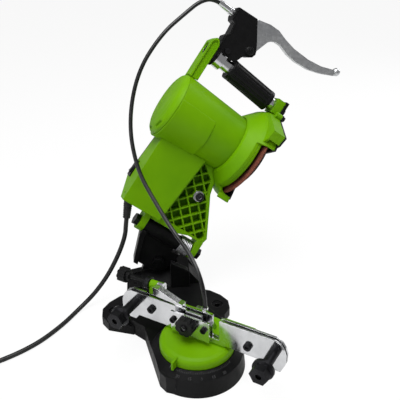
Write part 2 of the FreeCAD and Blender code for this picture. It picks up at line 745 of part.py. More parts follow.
def rocker_switch():
    """Rocker on a pivot along y, its two halves sloping away from the middle."""
    half = "switch_high / 2 - 1.5 - 1.2"
    face = "-box_left - 3.5"
    deep = "2 - box_left"
    rocker = front_plate([
        (deep, f"-({half}) + 2"),
        (deep, f"({half}) - 2"),
        (f"{face} + 1.5", half),
        (f"{face} + 0.5", "0"),
        (f"{face} - 1", f"-({half}) + 0.5"),
        (f"{face} + 1", f"-({half})"),
    ], "switch_wide / 2 - 1.5 - gap", "-(switch_wide / 2 - 1.5 - gap)")
    return moved(rocker, 0, "switch_back", "switch_up")


def in_relief(thing):
    """A feature drawn along the lead's leaning way into the box, placed in the head frame."""
    return moved(thing, "-cord_in", "-cord_front", "box_low", Rotation(Y, -value["relief_lean"]))


def strain_relief():
    """Tapered rubber boot round the mains lead, ringed towards its tip."""
    body = cone("relief_dia", "mains_dia + 3", "relief_long", 0, 0, 0, "-z")
    root = cylinder("relief_dia", "shell + 2", 0, 0, 0)
    grooves = []
    for i in range(4):
        start = f"-10 - {i} * 4.2"
        grooves.append(cut(cylinder(30, 1.4, 0, 0, start), cylinder("mains_dia + 3", 1.4, 0, 0, start)))
    bore = cylinder("mains_dia + 2 * fit", "relief_long + shell + 4", 0, 0, "shell + 3", "-z")
    return in_relief(cut(fuse(body, root), bore, *grooves))


def motor_housing():
    """Tapered shell open at its left rim, with an end wall that carries the right bearing."""
    long = "motor_left + guard_at"
    bore = f"{STATOR_DIA} / 2 + fit"
    seat = "bearing_dia / 2 + fit"
    return turned([
        (bore, 0),
        ("motor_dia / 2", 0),
        ("motor_neck_dia / 2", long),
        (seat, long),
        (seat, f"{long} - bearing_wide - 2"),
        (f"{bore} - 8", f"{long} - bearing_wide - 2"),
        (f"{bore} - 8", "motor_left - 16"),
        (bore, "motor_left - 20"),
    ], "-motor_left", 0, "shaft_up", "x")


def end_cap():
    """Domed cap with cooling slots low on its edge, carrying the left bearing."""
    seat = "bearing_dia / 2 + fit"
    inside = f"{STATOR_DIA} / 2 + 2"
    cap = turned([
        (inside, 0),
        ("motor_dia / 2", 0),
        ("motor_dia / 2 - 0.6", "cap_deep - 10.5"),
        ("motor_dia / 2 - 2", "cap_deep - 7.5"),
        ("motor_dia / 2 - 5", "cap_deep - 4.8"),
        ("motor_dia / 2 - 10", "cap_deep - 2.6"),
        ("motor_dia / 2 - 18", "cap_deep - 1"),
        ("motor_dia / 2 - 30", "cap_deep"),
        (0, "cap_deep"),
        (0, "cap_deep - shell"),
        (seat, "cap_deep - shell"),
        (seat, "cap_deep - shell - bearing_wide"),
        (f"{seat} + 4", "cap_deep - shell - bearing_wide"),
        (f"{seat} + 4", "cap_deep - shell"),
        (f"{inside} - 14", "cap_deep - shell - 2"),
        (f"{inside} - 5", "cap_deep - shell - 4.5"),
        (inside, "cap_deep - shell - 7.5"),
    ], "-motor_left", 0, "shaft_up", "-x")
    slots = []
    for i in (-1, 0, 1):
        slot = block("-motor_left - 9", "-motor_left - 5", -8, 8, "motor_dia / 2 - 9", "motor_dia / 2 + 1")
        slots.append(moved(slot, 0, 0, "shaft_up", Rotation(X, 180 + 40 * i)))
    return cut(cap, *slots)


def stator():
    out = cylinder(f"{STATOR_DIA}", 38, "-motor_left + 14", 0, "shaft_up", "x")
    return cut(out, cylinder("core_dia + 2 * gap", 40, "-motor_left + 13", 0, "shaft_up", "x"))


def field_coils():
    coils = []
    for start in ("-motor_left + 8", "-motor_left + 52"):
        ring_solid = cylinder(f"{STATOR_DIA} - 8", 6, start, 0, "shaft_up", "x")
        coils.append(cut(ring_solid, cylinder("core_dia + 6", 6, start, 0, "shaft_up", "x")))
    return coils


def brush_holders():
    holders = []
    for side in ("", "-"):
        near = "commutator_dia / 2 + gap"
        far = f"{STATOR_DIA} / 2"
        low, high = (near, far) if side == "" else (f"-({far})", f"-({near})")
        box = block("-motor_left + 0.5", "-motor_left + 7", low, high, "shaft_up - 4", "shaft_up + 4")
        rounding = cylinder(f"{STATOR_DIA}", 8, "-motor_left", 0, "shaft_up", "x")
        holders.append(common(box, rounding))
    return holders


def bearings():
    pair = []
    for x in ("-motor_left - cap_deep + shell", "guard_at - bearing_wide - 1"):
        outer = cylinder("bearing_dia", "bearing_wide", x, 0, "shaft_up", "x")
        pair.append(cut(outer, cylinder("shaft_dia + 2 * fit", "bearing_wide", x, 0, "shaft_up", "x")))
    return pair


def armature():
    """Shaft with its laminated core and the windings' ends."""
    left = "-motor_left - cap_deep + shell + 0.5"
    shaft = cylinder("shaft_dia", f"wheel_at + 18 - ({left})", left, 0, "shaft_up", "x")
    core = cylinder("core_dia", 36, "-motor_left + 15", 0, "shaft_up", "x")
    ends = [cone(26, 44, 4, "-motor_left + 11", 0, "shaft_up", "x"),
            cone(44, 26, 5, "-motor_left + 51", 0, "shaft_up", "x")]
    step = cylinder("shaft_dia + 6", 3, "guard_at + 0.5", 0, "shaft_up", "x")
    return fuse(shaft, core, step, *ends)


def commutator():
    bars = cylinder("commutator_dia", 7.5, "-motor_left + 0.5", 0, "shaft_up", "x")
    gaps = []
    for i in range(12):
        groove = block(-10, 10, -0.4, 0.4, "commutator_dia / 2 - 1", "commutator_dia")
        gaps.append(moved(groove, "-motor_left", 0, "shaft_up", Rotation(X, 30 * i)))
    return cut(bars, cylinder("shaft_dia + 2 * fit", 10, "-motor_left - 1", 0, "shaft_up", "x"), *gaps)


def fan():
    """Radial blower wheel behind the armature."""
    disc = cylinder("fan_dia", 2, "-motor_left + 66", 0, "shaft_up", "x")
    hub = cylinder("shaft_dia + 8", 12, "-motor_left + 66", 0, "shaft_up", "x")
    blades = []
    for i in range(10):
        blade = block("-motor_left + 67", "-motor_left + 77", -1, 1, "shaft_dia / 2 + 3", "fan_dia / 2 - 0.5")
        blades.append(moved(blade, 0, 0, "shaft_up", Rotation(X, 36 * i)))
    bore = cylinder("shaft_dia + 2 * fit", 14, "-motor_left + 65", 0, "shaft_up", "x")
    return cut(fuse(disc, hub, *blades), bore)


# ------------------------------------------------------------------ head: wheel and guard
MOUTH = (-70, -24, 18)
TAB_ANGLES = (70, 128, 195)
TAB_OUT = f"{GUARD_DIA} / 2 + 3"


def mouth_cut(x_low, x_high, hub="guard_hub_dia"):
    """The guard's open sector towards the vise, outside the walls' hub."""
    wedge = [("0", "shaft_up")]
    for angle in MOUTH:
        turn = math.radians(angle)
        out = f"{-math.cos(turn):.6f} * {GUARD_DIA}"
        wedge.append((out, f"shaft_up + {math.sin(turn):.6f} * {GUARD_DIA}"))
    kept = cylinder(hub, f"({x_high}) - ({x_low})", x_low, 0, "shaft_up", "x")
    return cut(side_plate(wedge, x_low, x_high), kept)


def around(angle, radius):
    """Position (y, z) at an angle that is measured from the front upwards round the shaft."""
    turn = math.radians(angle)
    return f"{-math.cos(turn):.6f} * ({radius})", f"shaft_up + {math.sin(turn):.6f} * ({radius})"


ROOF = [around(69, f"{GUARD_DIA} / 2"), around(30, f"{GUARD_DIA} / 2 + 17.5")]
BROW = around(23, f"{GUARD_DIA} / 2 + 7")
INNER = around(44, f"{GUARD_DIA} / 4")


def visor(x_low, x_high):
    """A side wall's straight-edged part over the mouth's upper end."""
    return side_plate([*ROOF, BROW, around(19, f"{GUARD_DIA} * 0.385"), INNER], x_low, x_high)


def wheel_guard():
    """Green shell: a bell that widens from the motor, a band over the wheel, a visor and a lower lip."""
    rim = f"{GUARD_DIA} / 2"
    shaft_hole = "shaft_dia / 2 + 4"
    bell_shell = turned([
        *[(f"{rim} - {inset}", along) for inset, along in BELL],
        (rim, "guard_deep"),
        (f"{rim} - 2.5", "guard_deep"),
        (f"{rim} - 2.5", 14),
        (f"{rim} - 4", 9),
        (f"{rim} - 6.5", 4.5),
        (f"{rim} - 9", "shell"),
        (shaft_hole, "shell"),
        (shaft_hole, 0),
        (f"{rim} - 11.5", 0),
        (f"{rim} - 16.5", -6),
        (f"{rim} - 23", -12.5),
        (f"{rim} - 28", -17),
        (f"{rim} - 30.3", -20),
        (f"{rim} - 30.5", -22),
    ], "guard_at", 0, "shaft_up", "x")
    roof = side_plate([
        *ROOF,
        BROW,
        around(25, f"{rim} + 4.5"),
        around(30.5, f"{rim} + 13.5"),
        around(66, f"{rim} - 3"),
    ], "guard_at + shell", "guard_at + guard_deep")
    tabs = []
    holes = []
    for angle in TAB_ANGLES:
        y, z = around(angle, TAB_OUT)
        tabs.append(cylinder(10, 10, "guard_at + guard_deep - 10", y, z, "x"))
        holes.append(cylinder("4 + 2 * fit", 9, "guard_at + guard_deep - 9", y, z, "x"))
    inside = cylinder(f"{GUARD_DIA} - 5", "guard_deep", "guard_at + shell", 0, "shaft_up", "x")
    lip = moved(block("guard_at", "guard_at + guard_deep", f"-{rim} - 7", f"-{rim} + 2", -1.5, 1.5),
                0, 0, "shaft_up", Rotation(X, -MOUTH[0] - 1))
    walls = fuse(bell_shell, visor("guard_at", "guard_at + shell"), roof)
    shell_part = cut(walls, mouth_cut("guard_at - 23", "guard_at + guard_deep + 1"))
    return cut(fuse(shell_part, cut(fuse(*tabs), inside), lip), *holes)


def guard_cover():
    """Black right wall of the guard, dished over the arbor nut."""
    face = turned([
        (0, 12),
        (14, 12),
        (19, 9.5),
        (23, "cover_thick"),
        (f"{GUARD_DIA} / 2", "cover_thick"),
        (f"{GUARD_DIA} / 2", 0),
        (20, 0),
        (16, 7),
        (12, 9),
        (0, 9),
    ], "guard_at + guard_deep", 0, "shaft_up", "x")
    tabs = []
    holes = []
    for angle in TAB_ANGLES:
        y, z = around(angle, TAB_OUT)
        tabs.append(cylinder(10, "cover_thick", "guard_at + guard_deep", y, z, "x"))
        holes.append(cylinder("4 + 2 * fit", "cover_thick", "guard_at + guard_deep", y, z, "x"))
    brow = visor("guard_at + guard_deep", "guard_at + guard_deep + cover_thick")
    mouth = mouth_cut("guard_at + guard_deep - 1", "guard_at + guard_deep + 20", "guard_hub_dia - 32")
    rim = cut(fuse(face, brow, *tabs), mouth)
    return cut(rim, *holes)


def guard_screws():
    screws = []
    outer = "guard_at + guard_deep + cover_thick"
    for angle in TAB_ANGLES:
        y, z = around(angle, TAB_OUT)
        screws.append(fuse(cylinder(8, 3, outer, y, z, "x"), cylinder(4, 11, outer, y, z, "-x")))
    return screws


def flange(side):
    """Steel flange whose pilot centres the wheel."""
    half = "wheel_wide / 2"
    bore = cylinder("shaft_dia + 2 * fit", 30, "wheel_at - 15", 0, "shaft_up", "x")
    if side == "inner":
        disc = cylinder("flange_dia", "flange_thick", f"wheel_at - {half} - flange_thick", 0, "shaft_up", "x")
        pilot = cylinder("wheel_bore - 2 * fit", "wheel_wide - 0.2", f"wheel_at - {half}", 0, "shaft_up", "x")
        relief = cylinder("shaft_dia + 16", 1, f"wheel_at - {half} - flange_thick", 0, "shaft_up", "x")
        return cut(fuse(disc, pilot), bore, relief)
    disc = cylinder("flange_dia", "flange_thick", f"wheel_at + {half}", 0, "shaft_up", "x")
    return cut(disc, bore)


def grinding_wheel():
    """Thin aluminium-oxide wheel with a rounded edge."""
    half = "wheel_wide / 2"
    edge = "wheel_dia / 2"
    return turned([
        ("wheel_bore / 2", f"-{half}"),
        (f"{edge} - 1.2", f"-{half}"),
        (edge, f"-{half} + 1"),
        (edge, f"{half} - 1"),
        (f"{edge} - 1.2", half),
        ("wheel_bore / 2", half),
    ], "wheel_at", 0, "shaft_up", "x")


def arbor_nut():
    start = "wheel_at + wheel_wide / 2 + flange_thick"
    return cut(hexagon(19, 7, start, 0, "shaft_up", "x"),
               cylinder("shaft_dia + 2 * fit", 7, start, 0, "shaft_up", "x"))


node("arm", HEAD, arm())
node("arm_bolt", HEAD, *arm_bolt())
node("switch_box", HEAD, switch_box())
node("box_cover", HEAD, box_cover())
node("switch_bezel", HEAD, switch_bezel())
node("rocker_switch", HEAD, rocker_switch())
node("strain_relief", HEAD, strain_relief())
node("motor_housing", HEAD, motor_housing())
node("end_cap", HEAD, end_cap())
node("stator", HEAD, stator())
node("coils_and_brushes", HEAD, *field_coils(), *brush_holders())
node("bearings", HEAD, *bearings())
node("armature", HEAD, armature())
node("commutator", HEAD, commutator())
node("fan", HEAD, fan())
node("wheel_guard", HEAD, wheel_guard())
node("guard_cover", HEAD, guard_cover())
node("wheel_flanges", HEAD, flange("inner"), flange("outer"))
node("grinding_wheel", HEAD, grinding_wheel())
node("arbor_nut", HEAD, arbor_nut())


# ------------------------------------------------------------------ head: handle and brake lever
def in_head(thing):
    """A feature drawn along the grip's sloping axis, placed in the head frame."""
    return moved(thing, 0, 0, f"{GRIP_UP}", Rotation(Y, value["grip_lean"]))


def post_left():
    """Green post on the motor's rim with a rounded top."""
    post = front_plate([
        ("-post_at - post_across / 2", "shaft_up + 30"),
        ("-post_at - post_across / 2", f"{GRIP_UP} + 20"),
        ("-post_at - post_across / 2 + 5", f"{GRIP_UP} + 27"),
        ("-post_at + post_across / 2 - 5", f"{GRIP_UP} + 27"),
        ("-post_at + post_across / 2", f"{GRIP_UP} + 20"),
        ("-post_at + post_across / 2", "shaft_up + 30"),
    ], "post_deep / 2", "-post_deep / 2")
    under = cylinder("motor_dia + 2 * gap", 60, "-motor_left - 30", 0, "shaft_up", "x")
    seat = in_head(cylinder("tube_dia + 2 * fit", 40, "-post_at - 25", 0, 0, "x"))
    return cut(post, under, seat)


def bracket_right():
    """Green bracket on the guard's top that holds the tube's right end."""
    right = "guard_at + guard_deep"
    low = f"shaft_up + {GUARD_DIA} / 2 - 8"
    post = block("guard_at + 6", right, "-post_deep / 2", "post_deep / 2", low, f"{GRIP_UP} + 9")
    under = cylinder(f"{GUARD_DIA} + 2 * gap", 40, "guard_at", 0, "shaft_up", "x")
    seat = in_head(cylinder("tube_dia + 2 * fit", 40, "guard_at", 0, 0, "x"))
    return cut(post, under, seat)


def bracket_plate():
    right = "guard_at + guard_deep"
    half = "post_deep / 2 + 1"
    low = f"shaft_up + {GUARD_DIA} / 2 + gap"
    panel = block(right, f"{right} + 5", f"-({half})", half, low, f"{GRIP_UP} + 11")
    return cut(panel, in_head(cylinder("8 + 2 * fit", 40, "guard_at", 0, 0, "x")))


def end_bolt():
    """Screw through the black plate into the tube's end."""
    seat = "guard_at + guard_deep + 6"
    return in_head(fuse(cylinder(14, 4, seat, 0, 0, "x"), cylinder(8, 16, seat, 0, 0, "-x")))


def handle_tube():
    left = "-post_at - post_across / 2 + 2"
    tube = cylinder("tube_dia", f"guard_at + guard_deep - 2 - ({left})", left, 0, 0, "x")
    return in_head(cut(tube, cylinder("tube_dia - 4", 300, -150, 0, 0, "x")))


def grip():
    """Black grip with lengthwise flutes between two collars."""
    start = "-grip_long / 2 + grip_shift"
    body = cylinder("grip_dia", "grip_long", start, 0, 0, "x")
    flutes = []
    for i in range(14):
        turn = 2 * math.pi * i / 14
        flute = cylinder(4, "grip_long - 14", f"{start} + 7", f"(grip_dia / 2 + 0.8) * {math.cos(turn):.6f}",
                         f"(grip_dia / 2 + 0.8) * {math.sin(turn):.6f}", "x")
        flutes.append(flute)
    bore = cylinder("tube_dia + 2 * fit", "grip_long + 2", f"{start} - 1", 0, 0, "x")
    return in_head(cut(body, bore, *flutes))


def clamp_band():
    """Silver band of the lever clamp round the tube, with a lug for its bolt."""
    left = "-clamp_at - clamp_wide / 2"
    right = "-clamp_at + clamp_wide / 2"
    band = cylinder("tube_dia + 8", "clamp_wide", left, 0, 0, "x")
    lug = block(left, right, -7, 7, "tube_dia / 2", "tube_dia / 2 + 10")
    bore = cylinder("tube_dia + 2 * fit", "clamp_wide + 2", f"{left} - 1", 0, 0, "x")
    hole = cylinder("5 + 2 * fit", 16, "-clamp_at", -8, "tube_dia / 2 + 5.5", "y")
    slit = block(f"{left} - 1", f"{right} + 1", -0.8, 0.8, "tube_dia / 2 - 2", "tube_dia / 2 + 12")
    return in_head(cut(fuse(band, lug), bore, hole, slit))


def clamp_bolt():
    head = hexagon(8, 4, "-clamp_at", -11, "tube_dia / 2 + 5.5", "-y")
    shank = cylinder(5, 24, "-clamp_at", -11, "tube_dia / 2 + 5.5", "y")
    return in_head(fuse(head, shank))


SLOT_HALF = "lever_thick / 2 + gap"


def lever_bracket():
    """Black lever housing astride the clamp: solid at the cable, slotted for the blade, ears at the pivot."""
    px = "-lever_pivot_x"
    body = front_plate([
        (f"{px} - 43", f"{GRIP_UP} + 12"),
        (f"{px} - 43.5", f"{GRIP_UP} + 28"),
        (f"{px} - 45", f"{GRIP_UP} + 30"),
        (f"{px} - 45.5", f"{LEVER_UP} - 3"),
        (f"{px} - 40.6", f"{LEVER_UP} + 3.5"),
        (f"{px} - 42", f"{LEVER_UP} + 20.5"),
        (f"{px} - 47.5", f"{LEVER_UP} + 21.5"),
        (f"{px} - 50.5", f"{LEVER_UP} + 27"),
        (f"{px} - 50.5", f"{LEVER_UP} + 41"),
        (f"{px} - 48", f"{LEVER_UP} + 43"),
        (f"{px} - 15.6", f"{LEVER_UP} + 45.6"),
        (f"{px} + 4", f"{LEVER_UP} + 16.3"),
        (f"{px} + 10", f"{LEVER_UP} + 6"),
        (f"{px} + 11.6", f"{LEVER_UP} + 1"),
        (f"{px} + 9.5", f"{LEVER_UP} - 5"),
        (f"{px} + 5.3", f"{LEVER_UP} - 8"),
        (f"{px} - 3.5", f"{LEVER_UP} - 12"),
        (f"{px} - 8", f"{GRIP_UP} + 17.5"),
        (f"{px} - 14", f"{GRIP_UP} + 12"),
    ], 11, -11)
    slot = block("-lever_pivot_x - 20", 40, f"-({SLOT_HALF})", SLOT_HALF, f"{LEVER_UP} - 14",
                 f"{LEVER_UP} + 60")
    pivot = cylinder("pivot_dia + 2 * fit", 24, "-lever_pivot_x", -12, f"{LEVER_UP}", "y")
    cable = cylinder("cable_dia / 2", 60, "-lever_pivot_x - 60", 0, f"{LEVER_UP} + adjuster_up", "x")
    left, right = "-clamp_at - clamp_wide / 2 - gap", "-clamp_at + clamp_wide / 2 + gap"
    seat = in_head(fuse(
        cylinder("tube_dia + 8 + 2 * gap", 90, -120, 0, 0, "x"),
        cylinder("grip_dia + 2 * gap", 60, "-grip_long / 2 + grip_shift - gap", 0, 0, "x"),
        block(left, right, "-7 - gap", "7 + gap", 0, "tube_dia / 2 + 10 + gap"),
        cylinder("5 + 2 * fit", 30, "-clamp_at", -15, "tube_dia / 2 + 5.5", "y"),
    ))
    return cut(body, slot, pivot, cable, seat)


def lever_pivot():
    head = cut(cylinder(12, 3, "-lever_pivot_x", -11, f"{LEVER_UP}", "-y"),
               hexagon(5, 2, "-lever_pivot_x", -12, f"{LEVER_UP}", "-y"))
    shank = cylinder("pivot_dia", 25, "-lever_pivot_x", -11, f"{LEVER_UP}", "y")
    return fuse(head, shank)


def barrel_adjuster():
    """Knurled cable adjuster on the lever housing's left face."""
    face = "-lever_pivot_x - 50.5"
    up = f"{LEVER_UP} + adjuster_up"
    nut = cylinder(12, 5, face, 0, up, "-x")
    barrel = cylinder(10, "adjuster_long - 12", f"{face} - 5", 0, up, "-x")
    tip = cone(10, "cable_dia + 2.4", 7, f"{face} - adjuster_long + 7", 0, up, "-x")
    socket = cylinder("cable_dia + 2 * fit", 16, f"{face} - adjuster_long - 1", 0, up, "x")
    wire = cylinder("cable_dia / 2", "adjuster_long + 2", f"{face} - adjuster_long - 1", 0, up, "x")
    return cut(fuse(nut, barrel, tip), socket, wire)


def brake_lever():
    """Blade from the slot over the grip to a ball end."""
    px = "-lever_pivot_x"
    up = f"{LEVER_UP}"
    outline = [
        (-8, -3), (-4, -7), (3, -7.5), (8, -4), (14.8, 16), (19.4, 28.4), (24, 33.5), (30.4, 36.6),
        (40.2, 37), (57.4, 32.5), (75.8, 31.2), (100.6, 33.9), (122.4, 40.8), (143, 50.5), (138, 58.5),
        (115.4, 50.3), (91.3, 46.3), (61.6, 46), (42, 49.1), (24.8, 53.7), (8.7, 52.9), (-11.5, 47.5),
        (-15, 40),
    ]
    corners = [(f"{px} + {x}", f"{up} + {z}") for x, z in outline]
    blade = front_plate(corners, "lever_thick / 2", "-lever_thick / 2")
    end = ball(13, f"{px} + 145", 0, f"{up} + 59")
    hole = cylinder("pivot_dia + 2 * fit", 20, px, -10, up, "y")
    return cut(fuse(blade, end), hole)


node("handle_posts", HEAD, post_left(), bracket_right())
node("bracket_plate", HEAD, bracket_plate())
node("head_screws", HEAD, *cover_screws(), *guard_screws(), end_bolt())
node("handle_tube", HEAD, handle_tube())
node("grip", HEAD, grip())
node("clamp_band", HEAD, clamp_band())
node("clamp_bolt", HEAD, clamp_bolt())
node("lever_bracket", HEAD, lever_bracket())
node("lever_pivot", HEAD, lever_pivot())
node("barrel_adjuster", HEAD, barrel_adjuster())
node("brake_lever", HEAD, brake_lever())


# ------------------------------------------------------------------ vise
RAIL_FACE = "groove / 2 + rail_thick"
FRAME_FRONT = "groove / 2 + rail_thick"
FRAME_BACK = "groove / 2 + rail_thick + frame_thick"
RAIL_SCREWS = [("-70", 70), ("78", 66)]
GUIDES = [("-guide_left", "guide_high"), ("guide_right", "guide_high")]
JAW_SCREWS = [("4 - jaw_plate_left", "-groove / 2 - rail_thick"), ("jaw_plate_right - 8", "groove / 2")]


def turntable():
    """Round green table with a rolled edge, a pointer over the dial and a stud down through the base."""
    high = "table_high - dial_high"
    edge = "table_dia / 2"
    top = turned([
        (0, "gap"),
        (edge, "gap"),
        (edge, f"{high} - 7"),
        (f"{edge} - 1", f"{high} - 4"),
        (f"{edge} - 3.5", f"{high} - 1.5"),
        (f"{edge} - 8", high),
        (0, high),
    ], 0, 0, "dial_high")
    pointer = front_plate([
        (-4.5, "dial_high + gap"),
        (-4.5, "table_high - 1"),
        (-1.5, "table_high - 1"),
        (-1.5, "dial_high + gap"),
    ], f"10 - {edge}", f"-({edge}) - 9")
    stud = cylinder("stud_dia", "dial_high + gap + 1 - lock_low", 0, 0, "lock_low")
    return fuse(top, pointer, stud)


def vise_lock_knob():
    """Hand knob on the stud, inside the hollow base."""
    thick = "base_deck - lock_low - gap"
    return lobed_knob("lock_dia", thick, 6, "stud_dia + 2 * fit", 0, 0, "lock_low", "z")


def vise_frame():
    """Green frame behind the rails: foot, wall with a window, webs and the chain stop's post."""
    foot = block(-44, 44, "-groove / 2 - rail_thick", 26, "table_high", "rail_low")
    wall = front_plate([
        (-56, "table_high"),
        (-77, 66),
        (-77, "rail_top - 6"),
        (80, "rail_top - 6"),
        (86, "rail_top - 10"),
        (86, 70),
        (58, "table_high"),
    ], FRAME_BACK, FRAME_FRONT)
    webs = [side_plate([
        (f"{FRAME_BACK} - 1", "table_high"),
        (26, "table_high"),
        (26, "table_high + 5"),
        (f"{FRAME_BACK} - 1", "rail_top - 14"),
    ], x, x + 5) for x in (-40, 12, 34)]
    low = "rail_top - 12"
    post = block("-stop_post", "12 - stop_post", FRAME_FRONT, "stop_back + 6", low, "stop_high + 1")
    post_top = cylinder(12, 12, "-stop_post", "stop_back", "stop_high", "x")
    notch = block("jaw_plate_right - 7", "window_right + 2", f"{FRAME_FRONT} - 1", f"{FRAME_BACK} + 1",
                  "window_low", "rail_top")
    holes = [cylinder("6 + 2 * fit", 14, x, f"{FRAME_FRONT} - 1", z, "y") for x, z in RAIL_SCREWS]
    rod = cylinder("8 + 2 * gap", 30, "jaw_rod", 0, "jaw_up", "y")
    stop = cylinder("stop_dia + 2 * fit", 14, "-stop_post - 1", "stop_back", "stop_high", "x")
    return cut(fuse(foot, wall, post, post_top, *webs), notch, rod, stop, *holes)


def rail_outline():
    """Long rail with round drooping ends; both rails share it."""
    left = "-rail_left"
    right = "rail_right"
    return [
        (f"{left} + 16", "rail_top"),
        (f"{left} + 8", "rail_top - 4"),
        (f"{left} + 3", "rail_top - 11"),
        (left, "rail_top - 20"),
        (left, "rail_low + 6"),
        (f"{left} + 6", "rail_low - 8"),
        (f"{left} + 22", "rail_low - 8"),
        (f"{left} + 28", "rail_low"),
        (f"{right} - 28", "rail_low"),
        (f"{right} - 22", "rail_low - 8"),
        (f"{right} - 6", "rail_low - 8"),
        (right, "rail_low + 6"),
        (right, "rail_top - 20"),
        (f"{right} - 3", "rail_top - 11"),
        (f"{right} - 8", "rail_top - 4"),
        (f"{right} - 16", "rail_top"),
    ]


def rail_holes(y_low, y_high):
    deep = f"({y_high}) - ({y_low})"
    screws = [cylinder("6 + 2 * fit", deep, x, y_low, z, "y") for x, z in RAIL_SCREWS]
    guides = [cylinder("8 + 2 * fit", deep, x, y_low, z, "y") for x, z in GUIDES]
    return screws + guides


def front_rail():
    """Chain rail on the operator's side, cut open where the jaw works."""
    back = "-groove / 2"
    front = f"-({RAIL_FACE})"
    top = "rail_top + 1"
    opening = block("-window_left", "window_right", f"{front} - 1", f"{back} + 1", "window_low", top)
    return cut(front_plate(rail_outline(), back, front), opening, *rail_holes(front, back))


def rear_rail():
    back = RAIL_FACE
    front = "groove / 2"
    top = "rail_top + 1"
    opening = block("jaw_plate_right - 2", "window_right", f"{front} - 1", f"{back} + 1", "window_low", top)
    rod = cylinder("8 + 2 * gap", 12, "jaw_rod", 0, "jaw_up", "y")
    return cut(front_plate(rail_outline(), back, front), opening, rod, *rail_holes(front, back))


def rail_spacers():
    """Washers that keep the groove open at each screw and guide."""
    washers = []
    for x, z in RAIL_SCREWS:
        washers.append(cut(cylinder(13, "groove", x, "-groove / 2", z, "y"),
                           cylinder("6 + 2 * fit", "groove", x, "-groove / 2", z, "y")))
    for x, z in GUIDES:
        washers.append(cut(cylinder(14, "groove", x, "-groove / 2", z, "y"),
                           cylinder("8 + 2 * fit", "groove", x, "-groove / 2", z, "y")))
    return washers


def rail_screws():
    screws = []
    front = f"-({RAIL_FACE})"
    for x, z in RAIL_SCREWS:
        head = cut(cylinder(11, 4, x, front, z, "-y"), hexagon(5, 3, x, f"{front} - 2", z, "-y"))
        screws.append(fuse(head, cylinder(6, f"{RAIL_FACE} + {FRAME_BACK} - 1", x, front, z, "y")))
    return screws


def guide_pins():
    """Shanks across the rail's ends towards the operator, each with a threaded stub at both ends."""
    pins = []
    front = f"-({RAIL_FACE})"
    for x, z in GUIDES:
        shank = cylinder("guide_dia", "guide_long", x, front, z, "-y")
        inner = cylinder(8, f"{RAIL_FACE} * 2 + 8", x, front, z, "y")
        outer = cylinder(8, 14, x, f"{front} - guide_long", z, "-y")
        pins.append(fuse(shank, inner, outer))
    return pins


def guide_heads():
    """Flanged hexagon heads on the guide pins' front stubs."""
    heads = []
    start = f"-({RAIL_FACE}) - guide_long"
    for x, z in GUIDES:
        flange_disc = cylinder("guide_nut + 7", 4, x, start, z, "-y")
        bevel = cone("guide_nut + 7", "guide_nut + 1", 2, x, f"{start} - 4", z, "-y")
        prism = hexagon("guide_nut", 17, x, start, z, "-y")
        heads.append(cut(fuse(flange_disc, bevel, prism), cylinder("8 + 2 * fit", 20, x, start, z, "-y")))
    return heads


def guide_nuts():
    nuts = []
    for x, z in GUIDES:
        blank = hexagon(13, 6, x, RAIL_FACE, z, "y")
        nuts.append(cut(blank, cylinder("8 + 2 * fit", 6, x, RAIL_FACE, z, "y")))
    return nuts


JAW_PLATE_BACK = "-groove / 2 - rail_thick - jaw_off"


def jaw_plate():
    """Chrome plate held off the rail, threaded for the jaw's set screw."""
    front = f"{JAW_PLATE_BACK} - 3"
    panel = block("-jaw_plate_left", "jaw_plate_right", front, JAW_PLATE_BACK, "jaw_plate_low",
                  "jaw_plate_top")
    holes = [cylinder("5 + 2 * fit", 3, x, front, "jaw_up", "y") for x, _ in JAW_SCREWS]
    return cut(panel, cylinder("8 + 2 * fit", 3, "jaw_rod", front, "jaw_up", "y"), *holes)


def jaw_sleeves():
    sleeves = []
    for x, seat in JAW_SCREWS:
        long = f"({seat}) - ({JAW_PLATE_BACK})"
        sleeves.append(cut(cylinder(9, long, x, JAW_PLATE_BACK, "jaw_up", "y"),
                           cylinder("5 + 2 * fit", long, x, JAW_PLATE_BACK, "jaw_up", "y")))
    return sleeves


def jaw_screws():
    screws = []
    front = f"{JAW_PLATE_BACK} - 3"
    for x, seat in JAW_SCREWS:
        socket = hexagon(4, 2.5, x, f"{front} - 2", "jaw_up", "-y")
        head = cut(cylinder(8.5, 3.5, x, front, "jaw_up", "-y"), socket)
        screws.append(fuse(head, cylinder(5, f"({seat}) - ({front}) - gap", x, front, "jaw_up", "y")))
    return screws


def clamp_jaw():
    """Sliding jaw in the front rail's gap with its rod through the rear rail."""
    back = "-groove / 2 - jaw_travel - gap"
    panel = block("gap - window_left", "jaw_plate_right - 14", f"{back} - rail_thick", back,
                  "window_low + gap", "rail_top")
    rod = cylinder(8, f"{FRAME_BACK} + 12 - ({back})", "jaw_rod", back, "jaw_up", "y")
    nut = hexagon(13, 6, "jaw_rod", f"{FRAME_BACK} + 5", "jaw_up", "y")
    return fuse(panel, rod, nut)


def jaw_knob():
    """Fluted hand knob with its set screw through the jaw plate."""
    front = f"{JAW_PLATE_BACK} - 3"
    knob = lobed_knob("jaw_knob_dia", 10, 8, 8, "jaw_rod", f"{front} - gap", "jaw_up", "-y")
    tip = "-groove / 2 - rail_thick - jaw_travel - 2 * gap"
    hub = cut(cylinder(14, 10, "jaw_rod", f"{front} - gap", "jaw_up", "-y"),
              cylinder(7, 12, "jaw_rod", f"{front} - gap", "jaw_up", "-y"))
    screw = cylinder(8, f"({tip}) - ({front}) + 10 + gap", "jaw_rod", f"{front} - 10 - gap", "jaw_up", "y")
    return fuse(knob, hub, screw)


def stop_screw():
    """Adjusting screw along the rails into the post, with its knob at the left."""
    left = "-stop_post - 52"
    screw = cylinder("stop_dia", "52 + 6", left, "stop_back", "stop_high", "x")
    knob = lobed_knob(22, 12, 9, "stop_dia - 1", left, "stop_back", "stop_high", "x")
    collar = cylinder(14, 5, f"{left} + 12", "stop_back", "stop_high", "x")
    return fuse(screw, knob, collar)


